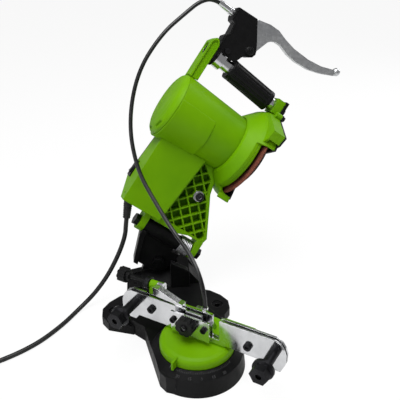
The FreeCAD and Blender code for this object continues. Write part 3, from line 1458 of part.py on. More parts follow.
def stop_nut():
    """Lock nut against the post."""
    start = "-stop_post - 6 - gap"
    return cut(cylinder(18, 6, start, "stop_back", "stop_high", "x"),
               cylinder("stop_dia + 2 * fit", 6, start, "stop_back", "stop_high", "x"))


def stop_finger():
    """Chrome finger from the screw down on to the rails, where it catches a chain tooth."""
    start = "12 - stop_post + gap"
    hub = cylinder(14, 9, start, "stop_back", "stop_high", "x")
    finger = front_plate([
        (f"{start}", "stop_high - 6"),
        (f"{start}", "stop_high + 6"),
        (f"{start} + 8", "stop_high + 6"),
        (f"{start} + 40", "rail_top + 6"),
        (f"{start} + 47", "rail_top + 5"),
        (f"{start} + 47", "rail_top + 0.6"),
        (f"{start} + 37", "rail_top + 0.6"),
        (f"{start} + 33", "rail_top + 3"),
    ], 5, -4.5)
    pin = cylinder("stop_dia", "18 - gap", "6 - stop_post + gap", "stop_back", "stop_high", "x")
    return fuse(hub, finger, pin)


def cable_ferrule():
    """Chrome end fitting of the Bowden cable on the frame's top edge."""
    middle = f"{FRAME_FRONT} + frame_thick / 2"
    foot = hexagon(7.8, 7, "ferrule_at", middle, "rail_top - 6")
    body = cone(8.6, "cable_dia + 1.6", 3, "ferrule_at", middle, "rail_top + 1")
    socket = cylinder("cable_dia + 2 * fit", 8, "ferrule_at", middle, "rail_top - 1")
    return cut(fuse(foot, body), socket)


node("turntable", VISE, turntable())
node("vise_lock_knob", VISE, vise_lock_knob())
node("vise_frame", VISE, vise_frame())
node("front_rail", VISE, front_rail())
node("rear_rail", VISE, rear_rail())
node("vise_spacers", VISE, *rail_spacers(), *jaw_sleeves())
node("vise_screws", VISE, *rail_screws(), *jaw_screws())
node("guide_pins", VISE, *guide_pins())
node("guide_heads", VISE, *guide_heads(), *guide_nuts())
node("jaw_plate", VISE, jaw_plate())
node("clamp_jaw", VISE, clamp_jaw())
node("jaw_knob", VISE, jaw_knob())
node("stop_screw", VISE, stop_screw())
node("stop_nut", VISE, stop_nut())
node("stop_finger", VISE, stop_finger())
node("cable_ferrule", VISE, cable_ferrule())


# ------------------------------------------------------------------ cords
def cord_path(points):
    """Straight runs joined by tangent arcs, each as large as its two runs allow."""
    edges = []
    start = points[0]
    radii = []
    for before, here, after in zip(points, points[1:], points[2:]):
        back = before.sub(here)
        ahead = after.sub(here)
        reach = 0.45 * min(back.Length, ahead.Length)
        back.normalize()
        ahead.normalize()
        half_turn = (math.pi - back.getAngle(ahead)) / 2
        radius = reach / math.tan(half_turn)
        bisector = back.add(ahead)
        bisector.normalize()
        arc_in = here.add(back.multiply(reach))
        arc_out = here.add(ahead.multiply(reach))
        middle = here.add(bisector.multiply(radius / math.cos(half_turn) - radius))
        edges.append(Part.LineSegment(start, arc_in).toShape())
        edges.append(Part.Arc(arc_in, middle, arc_out).toShape())
        start = arc_out
        radii.append(round(radius, 1))
    edges.append(Part.LineSegment(start, points[-1]).toShape())
    return Part.Wire(edges), radii


def cord(name, points, dia):
    """A round cord as one solid along its path."""
    path, radii = cord_path(points)
    heading = points[1].sub(points[0])
    section = Part.Wire([Part.Circle(points[0], heading, dia / 2).toShape()])
    tube = path.makePipeShell([section], True, False)
    expected = math.pi * dia * dia / 4 * path.Length
    print(name, "length", round(path.Length), "radii", radii, "volume", round(tube.Volume / expected, 4))
    thing = doc.addObject("Part::Feature", "Cord")
    thing.Shape = tube
    return thing


RELIEF = HEAD.multiply(Placement(Vector(-value["cord_in"], -value["cord_front"], value["box_low"]),
                                 Rotation(Y, -value["relief_lean"])))
LEAD_IN = RELIEF.multVec(Vector(0, 0, -4))
LEAD_OUT = RELIEF.multVec(Vector(0, 0, -value["relief_long"] - 10))
LEAD_HALF = value["mains_dia"] / 2
LEAD_WAY = [
    LEAD_IN,
    LEAD_OUT,
    Vector(-57, 54, 117),
    Vector(-68, 50, 88),
    Vector(-88, 45, 51),
    Vector(-112, 40, 20),
    Vector(-136, 26, LEAD_HALF),
    Vector(-160, -14, LEAD_HALF),
    Vector(-196, -56, LEAD_HALF),
    Vector(-250, -88, LEAD_HALF),
    Vector(-310, -104, LEAD_HALF),
    Vector(-356, -112, LEAD_HALF),
    Vector(-386, -115.2, LEAD_HALF),
]
COIL = Vector(-398, -70, 0)
COIL_DIA = 98
COIL_HOLE = 56
COIL_HIGH = 14

ADJUSTER_UP = amount(LEVER_UP) + value["adjuster_up"]
ADJUSTER_END = -value["lever_pivot_x"] - 50.5 - value["adjuster_long"]
FERRULE_BACK = (value["groove"] + value["frame_thick"]) / 2 + value["rail_thick"]
FERRULE = VISE.multVec(Vector(value["ferrule_at"], FERRULE_BACK, value["rail_top"] - 1))
CABLE_WAY = [
    HEAD.multVec(Vector(ADJUSTER_END + 11, 0, ADJUSTER_UP)),
    HEAD.multVec(Vector(ADJUSTER_END - 9, 0, ADJUSTER_UP)),
    Vector(72.5, 162, 444),
    Vector(49, 150, 429),
    Vector(12.5, 132, 404),
    Vector(-25, 109, 356),
    Vector(-41.5, 77, 291),
    Vector(-33, 44, 232),
    Vector(-9, 10, 194),
    Vector(14.6, -24, 163),
    Vector(32, -58, 152),
    Vector(43.5, -90, 137),
    FERRULE.add(Vector(0, 0, 21)),
    FERRULE,
]


def power_cord_coil():
    """Outer shape of the mains lead's coil on the bench, five and a half turns."""
    ring_solid = cylinder(COIL_DIA, COIL_HIGH, COIL.x, COIL.y)
    return cut(ring_solid, cylinder(COIL_HOLE, COIL_HIGH, COIL.x, COIL.y))


def power_plug():
    """Flat two-pin plug beside the coil, its neck taking the cord from the coil's far side."""
    x = COIL.x
    y = COIL.y + (COIL_DIA - value["mains_dia"]) / 2
    neck = cone(9, 12, 20, x + 6, y, 7.2, "x")
    body = block(x + 24, x + 58, y - 9, y + 9, 0.2, 14.2)
    face = block(x + 40, x + 58, y - 13, y + 13, 0.2, 14.2)
    pins = [cylinder(4, 20, x + 57, y + side * 9, 7.2, "x") for side in (1, -1)]
    return fuse(neck, body, face, *pins)


node("power_cord", BASE, cord("power_cord", LEAD_WAY, value["mains_dia"]))
node("power_cord_coil", BASE, power_cord_coil())
node("power_plug", BASE, power_plug())
node("clamp_cable", BASE, cord("clamp_cable", CABLE_WAY, value["cable_dia"]))


# ------------------------------------------------------------------ check and write
def finish():
    doc.recompute()
    broken = [thing.Label for thing in doc.Objects if "Invalid" in thing.State or "Error" in thing.State]
    if broken:
        raise RuntimeError(f"features failed: {broken}")
    for name, piece in nodes.items():
        if piece.Shape.isNull() or not piece.Shape.isValid() or not piece.Shape.Solids:
            raise RuntimeError(f"{name} has no sound shape")
    os.makedirs("parts", exist_ok=True)
    for name, piece in nodes.items():
        piece.Shape.exportStep(f"parts/{name}.step")
        print(name, len(piece.Shape.Solids), round(piece.Shape.Volume))


finish()
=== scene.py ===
import json
import math

import bmesh
import bpy
from mathutils import Matrix, Vector

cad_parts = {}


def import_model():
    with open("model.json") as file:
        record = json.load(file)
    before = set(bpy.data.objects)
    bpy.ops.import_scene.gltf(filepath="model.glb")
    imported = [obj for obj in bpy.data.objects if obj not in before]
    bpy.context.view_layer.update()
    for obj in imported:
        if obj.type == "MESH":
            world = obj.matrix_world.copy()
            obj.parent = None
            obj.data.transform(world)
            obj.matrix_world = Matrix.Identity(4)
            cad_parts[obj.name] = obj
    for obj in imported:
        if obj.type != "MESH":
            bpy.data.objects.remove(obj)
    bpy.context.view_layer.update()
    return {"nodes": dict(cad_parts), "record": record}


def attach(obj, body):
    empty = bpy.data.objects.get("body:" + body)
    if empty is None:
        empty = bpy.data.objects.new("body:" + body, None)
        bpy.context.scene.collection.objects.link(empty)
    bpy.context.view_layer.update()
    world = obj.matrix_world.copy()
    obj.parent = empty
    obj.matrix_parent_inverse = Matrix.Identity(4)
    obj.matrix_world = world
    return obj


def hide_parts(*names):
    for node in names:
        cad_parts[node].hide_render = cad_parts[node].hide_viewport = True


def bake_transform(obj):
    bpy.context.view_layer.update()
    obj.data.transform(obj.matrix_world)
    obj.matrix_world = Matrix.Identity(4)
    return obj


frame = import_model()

NODES = frame["nodes"]
MM = 0.001

# ---------------------------------------------------------------- the source's sizes, mm and degrees
TILT_BOLT = (-8, 66, 62)
BOLT_FROM_PIN = (29.1, 0, -41.9)    # the tilt bolt from the swing pin's middle, in the leaned frame
HEAD_TILT = 37
HEAD_RAISE = 17
SHAFT_UP = 176
MOTOR_LEFT = 92
MOTOR_RADIUS = 52
MOTOR_NECK_RADIUS = 45
GUARD_AT = 40
GRIP_UP = 268
GRIP_LEAN = 4
CLAMP_AT = 66
LEVER_PIVOT_X, LEVER_UP = -36, 308
CORD_IN = (-69, -8, 18)
RELIEF_LEAN = 26.5
TABLE_AXIS = (38, -109, 0)
VISE_TURN = 35
JAW_ROD, JAW_UP = -8, 73
DIAL_RADIUS, DIAL_HIGH = 54, 34     # inner edge of the sloping ring
DIAL_RUN, DIAL_FALL = 10, 8         # the ring's width on plan and its drop
LEAD_DIA = 7
CABLE_DIA = 6


# ---------------------------------------------------------------- frames, as in the part's source
def place(x, y, z):
    """A shift that is given in millimetres."""
    return Matrix.Translation(Vector((x, y, z)) * MM)


def turn(axis, degrees):
    """A rotation about one axis."""
    return Matrix.Rotation(math.radians(degrees), 4, axis)


def at(space, x, y, z):
    """A point that is given in millimetres in one of the frames, in metres in the row's frame."""
    return space @ (Vector((x, y, z)) * MM)


ROW = Matrix.Identity(4)
PIN = Vector(TILT_BOLT) - turn("Y", HEAD_TILT).to_3x3() @ Vector(BOLT_FROM_PIN)
HEAD = place(*PIN) @ turn("Y", HEAD_TILT) @ turn("X", -HEAD_RAISE)
CLAMP = HEAD @ place(0, 0, GRIP_UP) @ turn("Y", GRIP_LEAN) @ place(-CLAMP_AT, 0, 0)
RELIEF = HEAD @ place(*CORD_IN) @ turn("Y", -RELIEF_LEAN)
DIAL = place(*TABLE_AXIS)
VISE = DIAL @ turn("Z", -VISE_TURN)


# ---------------------------------------------------------------- camera
def camera(spot=(-0.0172, -0.7261, 0.5827), lens=52.43, across=-5.6, up=27.7, roll=-0.4):
    """The photo's view; across and up are the angles from which it looks, in degrees."""
    data = bpy.data.cameras.new("camera")
    data.lens = lens
    data.sensor_width = 36
    data.clip_end = 20
    eye = bpy.data.objects.new("camera", data)
    bpy.context.scene.collection.objects.link(eye)
    azimuth, height = math.radians(across), math.radians(up)
    back = Vector((math.sin(azimuth) * math.cos(height), -math.cos(azimuth) * math.cos(height),
                   math.sin(height)))
    right = Vector((math.cos(azimuth), math.sin(azimuth), 0))
    above = back.cross(right)
    facing = Matrix((right, above, back)).transposed().to_4x4()
    eye.matrix_world = Matrix.Translation(spot) @ facing @ turn("Z", roll)
    bpy.context.scene.camera = eye


camera()


# ---------------------------------------------------------------- materials
# Texture scales count features per metre; bump distances and edge radii are in metres.
BEVEL_SAMPLES = 4
MIX_FIRST, MIX_SECOND, MIX_RESULT = 6, 7, 2     # the colour sockets of the Mix node


class Surface:
    """One procedural material: a Principled shader and the nodes that feed it."""

    def __init__(self, name):
        self.material = bpy.data.materials.new(name)
        self.material.use_nodes = True
        self.tree = self.material.node_tree
        self.shader = self.tree.nodes["Principled BSDF"]
        self.where = self.add("ShaderNodeTexCoord").outputs["Object"]

    def add(self, kind, **settings):
        """A new node; each setting is the value of a socket or else a property."""
        made = self.tree.nodes.new(kind)
        for key, value in settings.items():
            if key in made.inputs:
                made.inputs[key].default_value = value
            else:
                setattr(made, key, value)
        return made

    def link(self, source, target):
        self.tree.links.new(source, target)

    def set(self, **sockets):
        """Plain values of the shader's sockets, with underscores for the spaces in their names."""
        for key, value in sockets.items():
            self.shader.inputs[key.replace("_", " ")].default_value = value

    def noise(self, scale, detail, stretch=(1, 1, 1)):
        made = self.add("ShaderNodeTexNoise", Scale=scale, Detail=detail, Roughness=0.55)
        mapping = self.add("ShaderNodeMapping", Scale=stretch)
        self.link(self.where, mapping.inputs["Vector"])
        self.link(mapping.outputs["Vector"], made.inputs["Vector"])
        return made.outputs["Fac"]

    def cells(self, scale):
        made = self.add("ShaderNodeTexVoronoi", feature="F1", Scale=scale)
        self.link(self.where, made.inputs["Vector"])
        return made.outputs["Distance"]

    def ramp(self, source, *stops):
        """Colours at (spot, colour) stops along a value."""
        made = self.add("ShaderNodeValToRGB")
        band = made.color_ramp
        while len(band.elements) < len(stops):
            band.elements.new(0.5)
        for element, (spot, colour) in zip(band.elements, stops):
            element.position = spot
            element.color = (*colour, 1)
        self.link(source, made.inputs["Fac"])
        return made.outputs["Color"]

    def spread(self, source, low, high, start=0.3, end=0.7):
        """Map a value between start and end onto low to high."""
        made = self.add("ShaderNodeMapRange")
        for key, value in (("From Min", start), ("From Max", end), ("To Min", low), ("To Max", high)):
            made.inputs[key].default_value = value
        self.link(source, made.inputs["Value"])
        return made.outputs["Result"]

    def mixed(self, factor, first, second, way="MIX"):
        """Two colours, each a socket or a plain (r, g, b), mixed by a socket."""
        made = self.add("ShaderNodeMix", data_type="RGBA", blend_type=way)
        self.link(factor, made.inputs["Factor"])
        for socket, value in ((made.inputs[MIX_FIRST], first), (made.inputs[MIX_SECOND], second)):
            if isinstance(value, tuple):
                socket.default_value = (*value, 1)
            else:
                self.link(value, socket)
        return made.outputs[MIX_RESULT]

    def edges(self, radius):
        """White along convex and concave edges, from the difference of a rounded and a plain normal."""
        soft = self.add("ShaderNodeBevel", samples=BEVEL_SAMPLES, Radius=radius)
        plain = self.add("ShaderNodeNewGeometry")
        dot = self.add("ShaderNodeVectorMath", operation="DOT_PRODUCT")
        self.link(soft.outputs["Normal"], dot.inputs[0])
        self.link(plain.outputs["Normal"], dot.inputs[1])
        return self.spread(dot.outputs["Value"], 1.0, 0.0, 0.72, 0.97)

    def colour(self, source):
        self.link(source, self.shader.inputs["Base Color"])

    def rough(self, source):
        self.link(source, self.shader.inputs["Roughness"])

    def relief(self, *layers, edge):
        """Bump layers (source, strength, distance) over a softly rounded edge; gives the material."""
        soft = self.add("ShaderNodeBevel", samples=BEVEL_SAMPLES, Radius=edge)
        normal = soft.outputs["Normal"]
        for source, strength, distance in layers:
            bump = self.add("ShaderNodeBump", Strength=strength, Distance=distance)
            self.link(source, bump.inputs["Height"])
            self.link(normal, bump.inputs["Normal"])
            normal = bump.outputs["Normal"]
        self.link(normal, self.shader.inputs["Normal"])
        return self.material


def moulded(name, dark, light, low, high, edge=0.0012, lift=(0.03, 0.03, 0.03), shine=0.2):
    """Injection-moulded plastic: fine spark grain, faint flow clouds, edges polished by handling."""
    s = Surface(name)
    base = s.ramp(s.noise(14, 3), (0.32, dark), (0.68, light))
    polished = s.mixed(s.spread(s.noise(420, 2), 0, 0.2), base, lift, "SCREEN")
    s.colour(s.mixed(s.edges(edge), base, polished))
    s.rough(s.spread(s.noise(90, 5), low, high))
    s.set(Specular_IOR_Level=shine)
    return s.relief((s.noise(2600, 2), 0.12, 0.0004), (s.noise(60, 3), 0.04, 0.001), edge=edge)


def cast_paint(name, dark, light):
    """Black powder coat over a casting: orange peel, slow clouds, grey rubbed edges."""
    s = Surface(name)
    base = s.ramp(s.noise(22, 5), (0.3, dark), (0.7, light))
    worn = s.mixed(s.spread(s.noise(180, 6), 0.0, 0.7, 0.42, 0.62), (0.015, 0.015, 0.016),
                   (0.12, 0.12, 0.125))
    s.colour(s.mixed(s.edges(0.0012), base, worn))
    s.rough(s.spread(s.noise(70, 5), 0.3, 0.5))
    s.set(Specular_IOR_Level=0.12)
    return s.relief((s.noise(900, 3), 0.25, 0.0005), (s.noise(45, 4), 0.08, 0.002), edge=0.0016)


def plated(name, bright, cloudy, low, high, stretch=(1, 1, 1)):
    """Bright metal with faint clouds, hairlines along the stretch and small specks."""
    s = Surface(name)
    s.colour(s.ramp(s.noise(38, 6), (0.3, cloudy), (0.62, bright)))
    s.set(Metallic=1.0)
    s.rough(s.spread(s.noise(260, 7, stretch), low, high, 0.35, 0.65))
    return s.relief((s.noise(700, 5, stretch), 0.05, 0.0003), (s.noise(30, 3), 0.03, 0.002), edge=0.0005)


def bonded_abrasive(name):
    """Red-brown aluminium oxide: sharp grains of several shades in a resin bond with open pores."""
    s = Surface(name)
    grains = s.cells(900)
    shade = s.ramp(s.noise(1300, 3), (0.3, (0.13, 0.028, 0.014)), (0.52, (0.26, 0.065, 0.03)),
                   (0.72, (0.42, 0.14, 0.075)))
    s.colour(s.mixed(s.spread(grains, 0.0, 1.0, 0.35, 0.75), shade, (0.07, 0.018, 0.012)))
    s.rough(s.spread(s.noise(800, 2), 0.7, 0.95))
    return s.relief((grains, 0.6, 0.0006), (s.noise(1800, 3), 0.4, 0.0004), edge=0.0004)


def rubber_skin(name, dark, light, low, high, bump):
    """Matt rubber or a cable's smooth sleeve, with a fine grain."""
    s = Surface(name)
    s.colour(s.ramp(s.noise(60, 5), (0.3, dark), (0.7, light)))
    s.rough(s.spread(s.noise(300, 4), low, high))
    return s.relief((s.noise(1500, 3), bump, 0.0003), edge=0.0004)


def wound_copper(name):
    """Lacquered copper with the fine waves of wound wire."""
    s = Surface(name)
    wave = s.add("ShaderNodeTexWave", Scale=900.0, Distortion=1.5)
    s.link(s.where, wave.inputs["Vector"])
    s.colour(s.ramp(s.noise(120, 4), (0.3, (0.36, 0.12, 0.05)), (0.7, (0.72, 0.3, 0.14))))
    s.set(Metallic=0.9)
    s.rough(s.spread(s.noise(200, 3), 0.25, 0.45))
    return s.relief((wave.outputs["Fac"], 0.5, 0.0003), edge=0.0003)


SLOTS = {
    "green_plastic": moulded("green_plastic", (0.135, 0.345, 0.0), (0.17, 0.4, 0.0), 0.36, 0.48,
                             edge=0.002, lift=(0.05, 0.09, 0.0), shine=0.12),
    "black_plastic": moulded("black_plastic", (0.003, 0.003, 0.0032), (0.007, 0.007, 0.0075), 0.3, 0.46),
    "black_cast": cast_paint("black_cast", (0.003, 0.003, 0.0032), (0.0075, 0.0075, 0.008)),
    "chrome": plated("chrome", (0.74, 0.745, 0.76), (0.6, 0.605, 0.62), 0.1, 0.24, (1, 1, 0.3)),
    "steel": plated("steel", (0.56, 0.56, 0.58), (0.4, 0.4, 0.42), 0.22, 0.4),
    "dark_steel": plated("dark_steel", (0.035, 0.035, 0.038), (0.014, 0.014, 0.016), 0.34, 0.5),
    "aluminium": plated("aluminium", (0.68, 0.69, 0.7), (0.5, 0.51, 0.53), 0.28, 0.46),
    "abrasive": bonded_abrasive("abrasive"),
    "copper": wound_copper("copper"),
    "rubber": rubber_skin("rubber", (0.004, 0.004, 0.004), (0.01, 0.01, 0.0105), 0.4, 0.6, 0.15),
}
# light grey cast paint for the dial marks: a painted highlight on raised marks that are black like the base
PAINTED_HIGHLIGHT_CAST = cast_paint("painted_highlight_cast", (0.07, 0.07, 0.072), (0.14, 0.14, 0.144))
SLEEVE = rubber_skin("cable_sleeve", (0.003, 0.003, 0.0035), (0.008, 0.008, 0.0085), 0.25, 0.38, 0.06)

for part in frame["record"]["subparts"]:
    mesh = NODES[part["node"]].data
    mesh.materials.clear()
    mesh.materials.append(SLOTS[part["material_slot"]])


# ---------------------------------------------------------------- building pieces
SHARP = math.radians(35)    # edges over this angle stay sharp, or get the bevel


def solid(name, body, slot, bm, space=ROW, bevel=0.0, material=None):
    """Finish a bmesh drawn in millimetres in a frame: place, shade and bevel it, and ride it on a body."""
    bmesh.ops.transform(bm, matrix=space @ Matrix.Scale(MM, 4), verts=bm.verts)
    bmesh.ops.recalc_face_normals(bm, faces=bm.faces)
    mesh = bpy.data.meshes.new(name)
    bm.to_mesh(mesh)
    bm.free()
    for face in mesh.polygons:
        face.use_smooth = True
    mesh.set_sharp_from_angle(angle=SHARP)
    mesh.materials.append(material or SLOTS[slot])
    piece = bpy.data.objects.new(name, mesh)
    bpy.context.scene.collection.objects.link(piece)
    if bevel:
        soft = piece.modifiers.new("bevel", "BEVEL")
        soft.width = bevel * MM
        soft.segments = 2
        soft.limit_method = "ANGLE"
        soft.angle_limit = SHARP
    if body:
        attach(piece, body)
    return piece


def mesh_of(name, curve):
    """The mesh that a curve or a text draws."""
    holder = bpy.data.objects.new(name, curve)
    bpy.context.scene.collection.objects.link(holder)
    shape = bpy.data.meshes.new_from_object(holder)
    bpy.data.objects.remove(holder)
    return shape


def merge(bm, other):
    """Move another bmesh's faces into this one."""
    scrap = bpy.data.meshes.new("scrap")
    other.to_mesh(scrap)
    other.free()
    bm.from_mesh(scrap)
    bpy.data.meshes.remove(scrap)


def bridge(bm, one, other, closed=True):
    """Faces between two rows of as many vertices; closed rows also join their ends."""
    count = len(one)
    for k in range(count if closed else count - 1):
        after = (k + 1) % count
        bm.faces.new((one[k], one[after], other[after], other[k]))


def circle(sides):
    """The angles of a ring's points."""
    return [2 * math.pi * k / sides for k in range(sides)]


def lathe(bm, profile, sides=48, closed=False):
    """Revolve (along, radius) points about the X axis; a closed profile makes a ring."""
    rings = [[bm.verts.new((along, radius * math.cos(a), radius * math.sin(a))) for a in circle(sides)]
             for along, radius in profile]
    for one, other in list(zip(rings, rings[1:])) + ([(rings[-1], rings[0])] if closed else []):
        bridge(bm, one, other)
    if not closed:
        bm.faces.new(rings[0])
        bm.faces.new(rings[-1])


def redirect(bm, axis):
    """Turn what the lathe drew along X: about Z it then faces -Y, about Y it stands up."""
    bmesh.ops.rotate(bm, matrix=Matrix.Rotation(math.radians(-90), 3, axis), verts=bm.verts)


def turned_piece(name, body, slot, profile, space, closed=False):
    """A piece from the lathe that faces -Y."""
    bm = bmesh.new()
    lathe(bm, profile, sides=36, closed=closed)
    redirect(bm, "Z")
    solid(name, body, slot, bm, space)


def slab(bm, corners, y_low, y_high):
    """Extrude an (x, z) outline between two depths."""
    near = [bm.verts.new((x, y_low, z)) for x, z in corners]
    far = [bm.verts.new((x, y_high, z)) for x, z in corners]
    bm.faces.new(near)
    bm.faces.new(far)
    bridge(bm, near, far)


def band(bm, outer, inner, y_low, y_high):
    """A flat strip between two open (x, z) lines of as many points."""
    rows = [[bm.verts.new((x, y, z)) for x, z in line] for line, y in
            ((outer, y_low), (inner, y_low), (inner, y_high), (outer, y_high))]
    for one, other in zip(rows, rows[1:] + rows[:1]):
        bridge(bm, one, other, closed=False)
    for k in (0, -1):
        bm.faces.new([row[k] for row in rows])


def eased(share):
    """A share from 0 to 1 with a soft start and end."""
    return share * share * (3 - 2 * share)


# ---------------------------------------------------------------- cords
CORD_SIDES = 14


def spline_line(name, points):
    """The smooth line that a NURBS spline draws through its control points, as points in metres."""
    data = bpy.data.curves.new(name, "CURVE")
    data.dimensions = "3D"
    data.resolution_u = 8
    spline = data.splines.new("NURBS")
    spline.points.add(len(points) - 1)
    for knot, point in zip(spline.points, points):
        knot.co = (*point, 1)
    spline.order_u = 3
    spline.use_endpoint_u = True
    shape = mesh_of(name, data)
    line = [vertex.co.copy() for vertex in shape.vertices]
    bpy.data.meshes.remove(shape)
    return line


def rings_along(line, radius):
    """One ring of points round the line at each of its points, without twist."""
    rings = []
    normal = (line[1] - line[0]).orthogonal().normalized()
    for i, spot in enumerate(line):
        ahead = (line[min(i + 1, len(line) - 1)] - line[max(i - 1, 0)]).normalized()
        normal = (normal - ahead * normal.dot(ahead)).normalized()
        side = ahead.cross(normal)
        rings.append([spot + (normal * math.cos(a) + side * math.sin(a)) * radius
                      for a in circle(CORD_SIDES)])
    return rings


def tube(bm, rings):
    """A closed tube through rings of points in metres, drawn in millimetres."""
    loops = [[bm.verts.new(point) for point in ring] for ring in rings]
    for one, other in zip(loops, loops[1:]):
        bridge(bm, one, other)
    bm.faces.new(loops[0][::-1])
    bm.faces.new(loops[-1])
    bmesh.ops.scale(bm, vec=(1 / MM,) * 3, verts=bm.verts)


def split(line, *cuts):
    """The indices of a line's ends and of the points nearest to each cut, and each point's run in metres."""
    runs = [0.0]
    for one, other in zip(line, line[1:]):
        runs.append(runs[-1] + (other - one).length)
    marks = [min(range(len(line)), key=lambda i: abs(runs[i] - cut)) for cut in cuts]
    return [0, *marks, len(line) - 1], runs


def cord_pieces(name, line, dia, cuts, carriers, stands_for,
                material=None):
    """A cord in stretches, cut at runs in metres: a stretch listed with one body rides on it, and the others
    stay in the row's frame.
    """
    rings = rings_along(line, dia / 2)
    marks, runs = split(line, *cuts)
    for number, (start, end, bodies) in enumerate(zip(marks, marks[1:], carriers), 1):
        bm = bmesh.new()
        tube(bm, rings[start:end + 1])
        one_body = bodies[0] if len(bodies) == 1 else None
        piece = solid(f"{name}_{number}", one_body, "rubber", bm, material=material)
        if not one_body:
            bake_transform(piece)
        if number == 1:
            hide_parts(*stands_for)


def coil_points(middle=(-398, -70, 0), turns=5.5, steps=66, outside=45.2, inwards=14.0):
    """The lead's coil of five and a half turns: inwards on the bench, up, and outwards on top."""
    climb_from, climb = 0.46, 0.08      # shares of the coil
    points = []
    for i in range(1, steps + 1):
        share = i / steps
        angle = math.radians(-90 - 360 * turns * share)
        depth = min(1.0, min(share, 1 - share) * 2 * 1.08)
        radius = outside - inwards * depth + 0.5 * math.sin(i * 1.9)    # hand-laid, so not quite round
        height = LEAD_DIA / 2 + LEAD_DIA * eased(min(1.0, max(0.0, (share - climb_from) / climb)))
        points.append(Vector(middle) + Vector((radius * math.cos(angle), radius * math.sin(angle), height)))
    return points


def metres(*points):
    """Points that are given in millimetres in the row's frame."""
    return [Vector(point) * MM for point in points]


LEAD_WAY = [
    at(RELIEF, 0, 0, -4),
    at(RELIEF, 0, 0, -36),
    *metres((-57, 54, 117), (-68, 50, 88), (-88, 45, 51), (-112, 40, 20), (-136, 26, 3.5),
            (-160, -14, 3.5), (-196, -56, 3.5), (-250, -88, 3.5), (-310, -104, 3.5), (-356, -112, 3.5),
            (-386, -115.2, 3.5), *coil_points(), (-388, -24.8, 9.0), (-378, -24.5, 7.4)),
]
CABLE_WAY = [
    at(HEAD, -100.5, 0, 341.5),
    at(HEAD, -120.5, 0, 341.5),
    *metres((72.5, 162, 444), (49, 150, 429), (12.5, 132, 404), (-25, 109, 356), (-41.5, 77, 291),
            (-33, 44, 232), (-9, 10, 194), (14.6, -24, 163), (32, -58, 152), (43.5, -90, 137)),
    at(VISE, 8, 8.5, 110),
    at(VISE, 8, 8.5, 89),
]
cord_pieces("power_lead", spline_line("lead_way", LEAD_WAY), LEAD_DIA * MM, (0.06, 0.17),
            (("head", "bracket"), ("bracket", "base"), ("base",)), ("power_cord", "power_cord_coil"))
cord_pieces("bowden_cable", spline_line("cable_way", CABLE_WAY), CABLE_DIA * MM, (0.27, 0.42),
            (("head", "bracket"), ("bracket", "base"), ("base", "vise")), ("clamp_cable",),
            material=SLEEVE)


# ---------------------------------------------------------------- head
def motor_radius(x):
    """The motor housing's outside, which narrows from its rim to the guard."""
    narrower = MOTOR_RADIUS - MOTOR_NECK_RADIUS
    return MOTOR_RADIUS - narrower * (x + MOTOR_LEFT) / (MOTOR_LEFT + GUARD_AT)


def motor_skirt():
    """Raised skirt on the motor's underside, fading into the barrel at its upper front."""
    left, long, columns = -91.4, 61, 12
    start, sweep, rounds = -110, 125, 26        # degrees round the shaft, 0 at the front
    raised, least, sunk = 2.0, 0.15, 0.8
    fading, slant = 9, 3
    bm = bmesh.new()
    shells = []
    for outside in (True, False):
        rows = []
        for i in range(columns + 1):
            share = i / columns
            x = left + long * share
            row = []
            for k in range(rounds + 1):
                angle = math.radians(start + sweep * k / rounds)
                fade = min(1.0, (rounds - k) / fading)
                out = motor_radius(x) + (least + raised * eased(fade) if outside else -sunk)
                row.append(bm.verts.new((x + slant * fade * share, -out * math.cos(angle),
                                         SHAFT_UP + out * math.sin(angle))))
            rows.append(row)
        for one, other in zip(rows, rows[1:]):
            bridge(bm, one, other, closed=False)
        shells.append([rows[0], rows[-1], [row[0] for row in rows], [row[-1] for row in rows]])
    for high, low in zip(*shells):
        bridge(bm, high, low, closed=False)
    solid("motor_skirt", "head", "green_plastic", bm, HEAD, bevel=0.6)


def post_rim():
    """Raised rim round the left post's front, looped over its top."""
    outer = [(-93.8, 226), (-93.8, 286), (-92.4, 290), (-89.5, 293.2), (-87, 294), (-84.5, 293.2),
             (-81.6, 290), (-80.2, 286), (-80.2, 228)]
    inner = [(-91.6, 227), (-91.6, 285.4), (-90.6, 288.2), (-88.6, 290.6), (-87, 291.2), (-85.4, 290.6),
             (-83.4, 288.2), (-82.4, 285.4), (-82.4, 229)]
    bm = bmesh.new()
    band(bm, outer, inner, -15.8, -13.6)
    solid("post_rim", "head", "green_plastic", bm, HEAD)


def tube_collars():
    """Black ridged collar between post and clamp, and the grip's two end collars."""
    ridges = [(-13.6, 10.4), (-13.6, 14.4), (-12.6, 15.6), (-10.4, 15.6), (-9.9, 14.8), (-9.3, 14.8),
              (-8.8, 15.6), (-7.4, 15.6), (-6.8, 15), (-6.8, 10.4)]
    bm = bmesh.new()
    lathe(bm, ridges, closed=True)
    solid("tube_collar", "head", "black_plastic", bm, CLAMP)
    collar = [(0.1, 12.6), (0.1, 15.4), (0.8, 16.3), (1.8, 16.75), (4.4, 16.75), (5.4, 16.6), (5.9, 16.3),
              (5.9, 12.6)]
    grip_ends = ((21.1, 1), (103.1, -1))        # from the clamp, and which way the grip lies
    bm = bmesh.new()
    for end, way in grip_ends:
        lathe(bm, [(end + way * along, radius) for along, radius in collar], closed=True)
    solid("grip_collars", "head", "black_plastic", bm, CLAMP)


